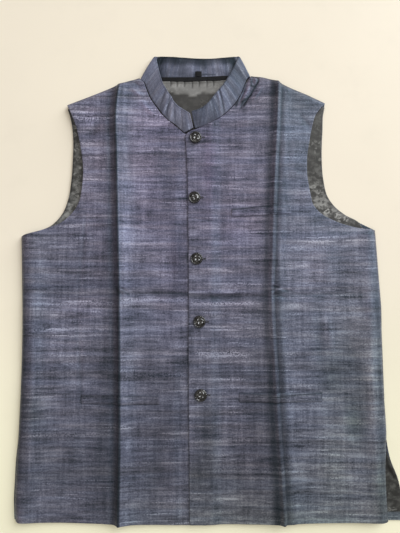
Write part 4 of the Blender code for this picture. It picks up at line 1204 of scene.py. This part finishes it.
class JACKET_OT_collar(bpy.types.Operator):
    """Make the standing band, turned over at the shoulders"""

    bl_idname = "jacket.collar"
    bl_label = "Collar"

    def execute(self, context):
        seam, top = band_edges()
        steps = np.linalg.norm(np.diff(0.5 * (seam + top), axis=0), axis=1)
        place_along = np.concatenate([[0.0], np.cumsum(steps)])[None, :]
        up = np.linspace(0.0, 1.0, 34)[:, None]
        middle = seam + (top - seam) * up[..., None]
        normals = grid_normals(middle)
        if normals[10, 20, 2] < 0.0:
            normals = -normals
        turned = ease((place_along - 118.0) / 16.0) * ease((314.0 - place_along) / 16.0)
        bulge = (0.9 - 0.9 * turned) * np.sin(np.pi * up) ** 0.8
        long_grid, up_grid = place_along + 0.0 * up, 30.0 * up
        waves = 0.5 * soft_noise(long_grid, up_grid, (18.0, 16.0), 41)
        for at, lean, half, height in BAND_CREASES:
            waves = waves + height * bump(place_along, at + lean * (up - 0.5), half)
        ends = ease(place_along / 6.0) * ease((place_along[0, -1] - place_along) / 6.0)
        middle = middle + normals * ((bulge + waves * up**0.5) * ends)[..., None]
        back = ease((place_along - 136.0) / 16.0) * ease((268.0 - place_along) / 16.0)
        swell = 1.6 + 0.7 * soft_noise(long_grid, up_grid, (24.0, 12.0), 44)
        middle[..., 2] += back * swell * np.sin(np.pi * up)
        middle[..., 2] = np.maximum(middle[..., 2], 0.5 * COLLAR_WALL + 0.05)
        uv = np.stack([BAND_HEIGHT * up + 0.0 * place_along, long_grid + BAND_UV_SHIFT], axis=2)
        shade = band_looks(middle[..., 0], middle[..., 1], up, place_along, waves)
        piece = cloth_mesh("collar_cloth", middle, COLLAR_WALL, uv, normals, shade=shade)
        # Painted light: the band's cloth is drawn 1.28 times lighter, with half the streak contrast
        dress(piece, material("slub cloth band", slub_cloth, 1.28, 0.5), "slub_cloth", "collar")
        return {"FINISHED"}


# Welts and neck trims


def welt_mesh(name, welt, sign):
    """A welt: the front's own surface, moved out by its wall and swelling in the middle."""
    (low_a, low_b), (high_a, high_b), start, end = welt
    u = np.linspace(0.0, 1.0, 90)[None, :]
    v = np.linspace(0.0, 1.0, 9)[:, None]
    x = start + (end - start) * u + 0.0 * v
    low = low_a + (low_b - low_a) * u
    y = low + (high_a + (high_b - high_a) * u - low) * v
    z, shade = front_surface(x, y, sign)
    base = np.stack([x, y, z], axis=2)
    normals = up_normals(base)
    out = 0.5 * FRONT_WALL + 0.1 + 0.5 * WELT_WALL + 0.2 * np.sin(np.pi * v) ** 0.7
    uv = np.stack([x, y + WELT_UV_SHIFT + start], axis=2)
    return cloth_mesh(name, base + normals * out[..., None], WELT_WALL, uv, normals, shade=shade)


class JACKET_OT_welts(bpy.types.Operator):
    """Make the chest welt and the two hip welts"""

    bl_idname = "jacket.welts"
    bl_label = "Pocket welts"

    def execute(self, context):
        for node, welt, sign, under, width in (
            ("hip_welt_right", RIGHT_HIP_WELT, -1, "front_right", 0.118),
            ("hip_welt_left", LEFT_HIP_WELT, 1, "front_left", 0.124),
            ("chest_welt", CHEST_WELT, 1, "front_left", 0.092),
        ):
            piece = welt_mesh(node + "_cloth", welt, sign)
            dress(piece, material("slub cloth", slub_cloth), "slub_cloth", node)
        return {"FINISHED"}


class JACKET_OT_neck_trims(bpy.types.Operator):
    """Make the neck tape and the hang tab"""

    bl_idname = "jacket.neck_trims"
    bl_label = "Neck trims"

    def execute(self, context):
        v = np.linspace(-0.9, 6.0, 8)[:, None]
        x = np.linspace(-65.6, 51.6, 100)[None, :] + 0.0 * v
        y = shoulder_y(x) - 1.4 + v + (1.0 - v / 6.0) * 0.6 * soft_noise(x, 0.0 * x, (10.0, 20.0), 52)
        z = 3.5 + 0.25 * soft_noise(x, y, (9.0, 20.0), 51)
        tape = np.stack([x, y, z], axis=2)
        x, y = np.meshgrid(np.linspace(-7.2, 2.2, 12), np.linspace(303.5, 311.9, 12))
        z = 3.2 + 0.7 * ease((312.0 - y) / 3.0) + 0.25 * np.sin((x + 7.2) / 9.4 * np.pi)
        tab = np.stack([x, y, z], axis=2)
        for node, middle, wall in (("neck_tape", tape, 0.7), ("hang_tab", tab, 0.9)):
            piece = cloth_mesh(node + "_ribbon", middle, wall, middle[..., :2])
            dress(piece, material("ribbed tape", ribbed_tape), "black_tape", node)
        return {"FINISHED"}


# Buttons


def button_mesh(centre, radius, turn):
    """One moulded button: a beaded rim round a groove, and a domed middle with four knobs.

    z = profile(r) + bead |cos 9a| on the rim + knob exp(-(distance to the knob / width)^2).
    """
    steps = np.linspace(0.0, len(BUTTON_PROFILE) - 1.0, 64)
    r, level = (np.interp(steps, np.arange(len(column)), column)[:, None] for column in zip(*BUTTON_PROFILE))
    a = np.linspace(0.0, 2.0 * math.pi, 108, endpoint=False)[None, :]
    beads = np.abs(np.cos(BUTTON_BEADS * (a + turn)))
    upper = level > 1.2
    z = level + 0.42 * beads * bump(r, 0.87, 0.08) * upper
    x, y = r * np.cos(a), r * np.sin(a)
    for knob in turn + 0.5 * math.pi * np.arange(4):
        knob_x, knob_y = KNOB_AT * math.cos(knob), KNOB_AT * math.sin(knob)
        z = z + KNOB_HEIGHT * bump(x, knob_x, KNOB_WIDTH) * bump(y, knob_y, KNOB_WIDTH) * upper
    wide = radius * (1.0 - 0.02 * (1.0 - beads) * (r > 0.8))
    points = np.stack([x * wide, y * wide, z], axis=2) + np.array(centre)
    index = np.arange(z.size).reshape(z.shape)
    after = np.roll(index, -1, axis=1)
    quads = np.stack([index[:-1], index[1:], after[1:], after[:-1]], axis=-1).reshape(-1, 4)
    return points.reshape(-1, 3), quads


def stitch_mesh(starts, ends, radius, arch):
    """Short raised threads: centre = start + (end - start) t + arch sin(pi t), up.

    The thread's radius round it is radius * sin(pi t) ^ 0.4, and 0 at both ends.
    """
    t = np.linspace(0.0, 1.0, 6)[None, :, None, None]
    turn = np.linspace(0.0, 2.0 * math.pi, 6, endpoint=False)[None, None, :, None]
    up = np.array([0.0, 0.0, 1.0])
    run = (ends - starts)[:, None, None, :]
    side = unit(np.cross(run, up))
    wide = radius * np.sin(np.pi * np.clip(t, 1e-9, 1.0 - 1e-9)) ** 0.4
    wide = np.where((t <= 0.0) | (t >= 1.0), 0.0, wide)
    centre = starts[:, None, None, :] + run * t + up * arch * np.sin(np.pi * t)
    points = centre + wide * (side * np.cos(turn) + up * np.sin(turn))
    index = np.arange(points[..., 0].size).reshape(points.shape[:3])
    after = np.roll(index, -1, axis=2)
    quads = np.stack([index[:, :-1], after[:, :-1], after[:, 1:], index[:, 1:]], axis=-1).reshape(-1, 4)
    return points.reshape(-1, 3), quads


def on_left_front(x, y):
    """Points just over the left front's upper face."""
    columns = x[:, None] + np.array([-1.0, 0.0, 1.0])
    middle = front_surface(columns, y[:, None] + 0.0 * columns, 1)[0][:, 1]
    return np.stack([x, y, middle + 0.5 * FRONT_WALL + 0.05], axis=1)


def buttonhole(x, y, radius):
    """Threads along both lips of the slit that show past the button, and a fan round its end."""
    step = np.arange(HOLE_START, HOLE_END, HOLE_STITCH)
    step = x + step[step > radius - 1.0]
    fan = np.radians(np.linspace(-75.0, 75.0, 7))
    level = y + 0.0 * step
    inner_x = np.concatenate([step, step, x + HOLE_END + 0.0 * fan])
    inner_y = np.concatenate([level + 0.25, level - 0.25, y + 0.2 * np.sin(fan)])
    outer_x = np.concatenate([step, step, x + HOLE_END + HOLE_BITE * np.cos(fan)])
    outer_y = np.concatenate([level + HOLE_BITE, level - HOLE_BITE, y + HOLE_BITE * np.sin(fan)])
    return stitch_mesh(on_left_front(inner_x, inner_y), on_left_front(outer_x, outer_y), 0.42, 0.25)


class JACKET_OT_buttons(bpy.types.Operator):
    """Make the five buttons and their stitched buttonholes"""

    bl_idname = "jacket.buttons"
    bl_label = "Buttons"

    def execute(self, context):
        plastic = material("moulded black", moulded_black)
        thread = material("buttonhole thread", sewing_thread, (0.013, 0.012, 0.017))
        radius = 0.5 * sizes().button_width / MM * BUTTON_SEAT
        for number, ((x, y), turn) in enumerate(zip(BUTTONS, BUTTON_TURNS), start=1):
            node = "button_%d" % number
            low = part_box(node)[0].z / MM
            for name, (points, quads), finish, nodes in (
                (node + "_gloss", button_mesh((x, y, low), radius, turn), plastic, [node]),
                ("buttonhole_%d_thread" % number, buttonhole(x, y, radius), thread, []),
            ):
                piece = new_piece(name, place(points), quads)
                merge(piece)
                dress(piece, finish, "black_button", *nodes)
        return {"FINISHED"}


# Stage


class JACKET_OT_stage(bpy.types.Operator):
    """Make the floor, the lights and the camera"""

    bl_idname = "jacket.stage"
    bl_label = "Stage"

    def execute(self, context):
        scene = context.scene
        reach = 3.0
        corners = [(-reach, -reach, 0), (reach, -reach, 0), (reach, reach, 0), (-reach, reach, 0)]
        floor = bpy.data.meshes.new("floor")
        floor.from_pydata(corners, [], [(0, 1, 2, 3)])
        floor.materials.append(material("pale floor", pale_floor))
        made = bpy.data.objects.new("floor", floor)
        made.location.z = -0.0003
        scene.collection.objects.link(made)

        scene.world = scene.world or bpy.data.worlds.new("room")
        scene.world.use_nodes = True
        sky = scene.world.node_tree.nodes["Background"].inputs
        sky[0].default_value = (1.0, 0.93, 0.86, 1.0)
        sky[1].default_value = 0.32
        for name, at, aim, size, power, colour in (
            ("window", (6.07, 4.74, 3.59), (0.0, 0.0, 0.0), 7.48, 1090.0, (0.93, 0.96, 0.98)),
            ("overhead", (0.2, 0.85, 1.35), (0.0, 0.1, 0.0), 1.1, 2.8, (1.0, 0.94, 0.88)),
            ("fill", (-0.55, -0.5, 1.35), (-0.25, -0.2, 0.0), 1.0, 3.3, (1.0, 1.0, 0.92)),
        ):
            light = bpy.data.lights.new(name, "AREA")
            light.shape = "SQUARE"
            light.size = size
            light.energy = power
            light.color = colour
            lamp = bpy.data.objects.new(name, light)
            lamp.location = at
            lamp.rotation_euler = (Vector(aim) - Vector(at)).to_track_quat("-Z", "Y").to_euler()
            scene.collection.objects.link(lamp)

        tilt = math.radians(4.0)
        far = sizes().camera_height
        lens = bpy.data.cameras.new("camera")
        lens.lens = 27.0
        lens.sensor_width = 36.0
        camera = bpy.data.objects.new("camera", lens)
        camera.location = (-MIDDLE_X * MM, -MIDDLE_Y * MM - math.sin(tilt) * far, math.cos(tilt) * far)
        camera.rotation_euler = (tilt, 0.0, 0.0)
        scene.collection.objects.link(camera)
        scene.camera = camera
        scene.view_settings.view_transform = "Standard"
        return {"FINISHED"}


class JACKET_PT_sidebar(bpy.types.Panel):
    """Colours, sizes and pieces of the jacket"""

    bl_label = "Band collar jacket"
    bl_idname = "JACKET_PT_sidebar"
    bl_space_type = "VIEW_3D"
    bl_region_type = "UI"
    bl_category = "Jacket"

    def draw(self, context):
        for group in (context.scene.jacket_looks, context.scene.jacket_sizes):
            for key in group.__annotations__:
                self.layout.prop(group, key)
        for operator in OPERATORS:
            self.layout.operator(operator.bl_idname)


OPERATORS = (
    JACKET_OT_neck_trims,
    JACKET_OT_back,
    JACKET_OT_fronts,
    JACKET_OT_collar,
    JACKET_OT_welts,
    JACKET_OT_buttons,
    JACKET_OT_stage,
)
CLASSES = (JacketLooks, JacketSizes, *OPERATORS, JACKET_PT_sidebar)


def register():
    """Add the classes and the scene's settings."""
    for made in CLASSES:
        bpy.utils.register_class(made)
    bpy.types.Scene.jacket_looks = bpy.props.PointerProperty(type=JacketLooks)
    bpy.types.Scene.jacket_sizes = bpy.props.PointerProperty(type=JacketSizes)


def unregister():
    """Remove them again."""
    del bpy.types.Scene.jacket_looks
    del bpy.types.Scene.jacket_sizes
    for made in reversed(CLASSES):
        bpy.utils.unregister_class(made)


def main():
    register()
    bpy.ops.jacket.neck_trims()
    bpy.ops.jacket.back()
    bpy.ops.jacket.fronts()
    bpy.ops.jacket.collar()
    bpy.ops.jacket.welts()
    bpy.ops.jacket.buttons()
    bpy.ops.jacket.stage()


if __name__ == "__main__":
    main()
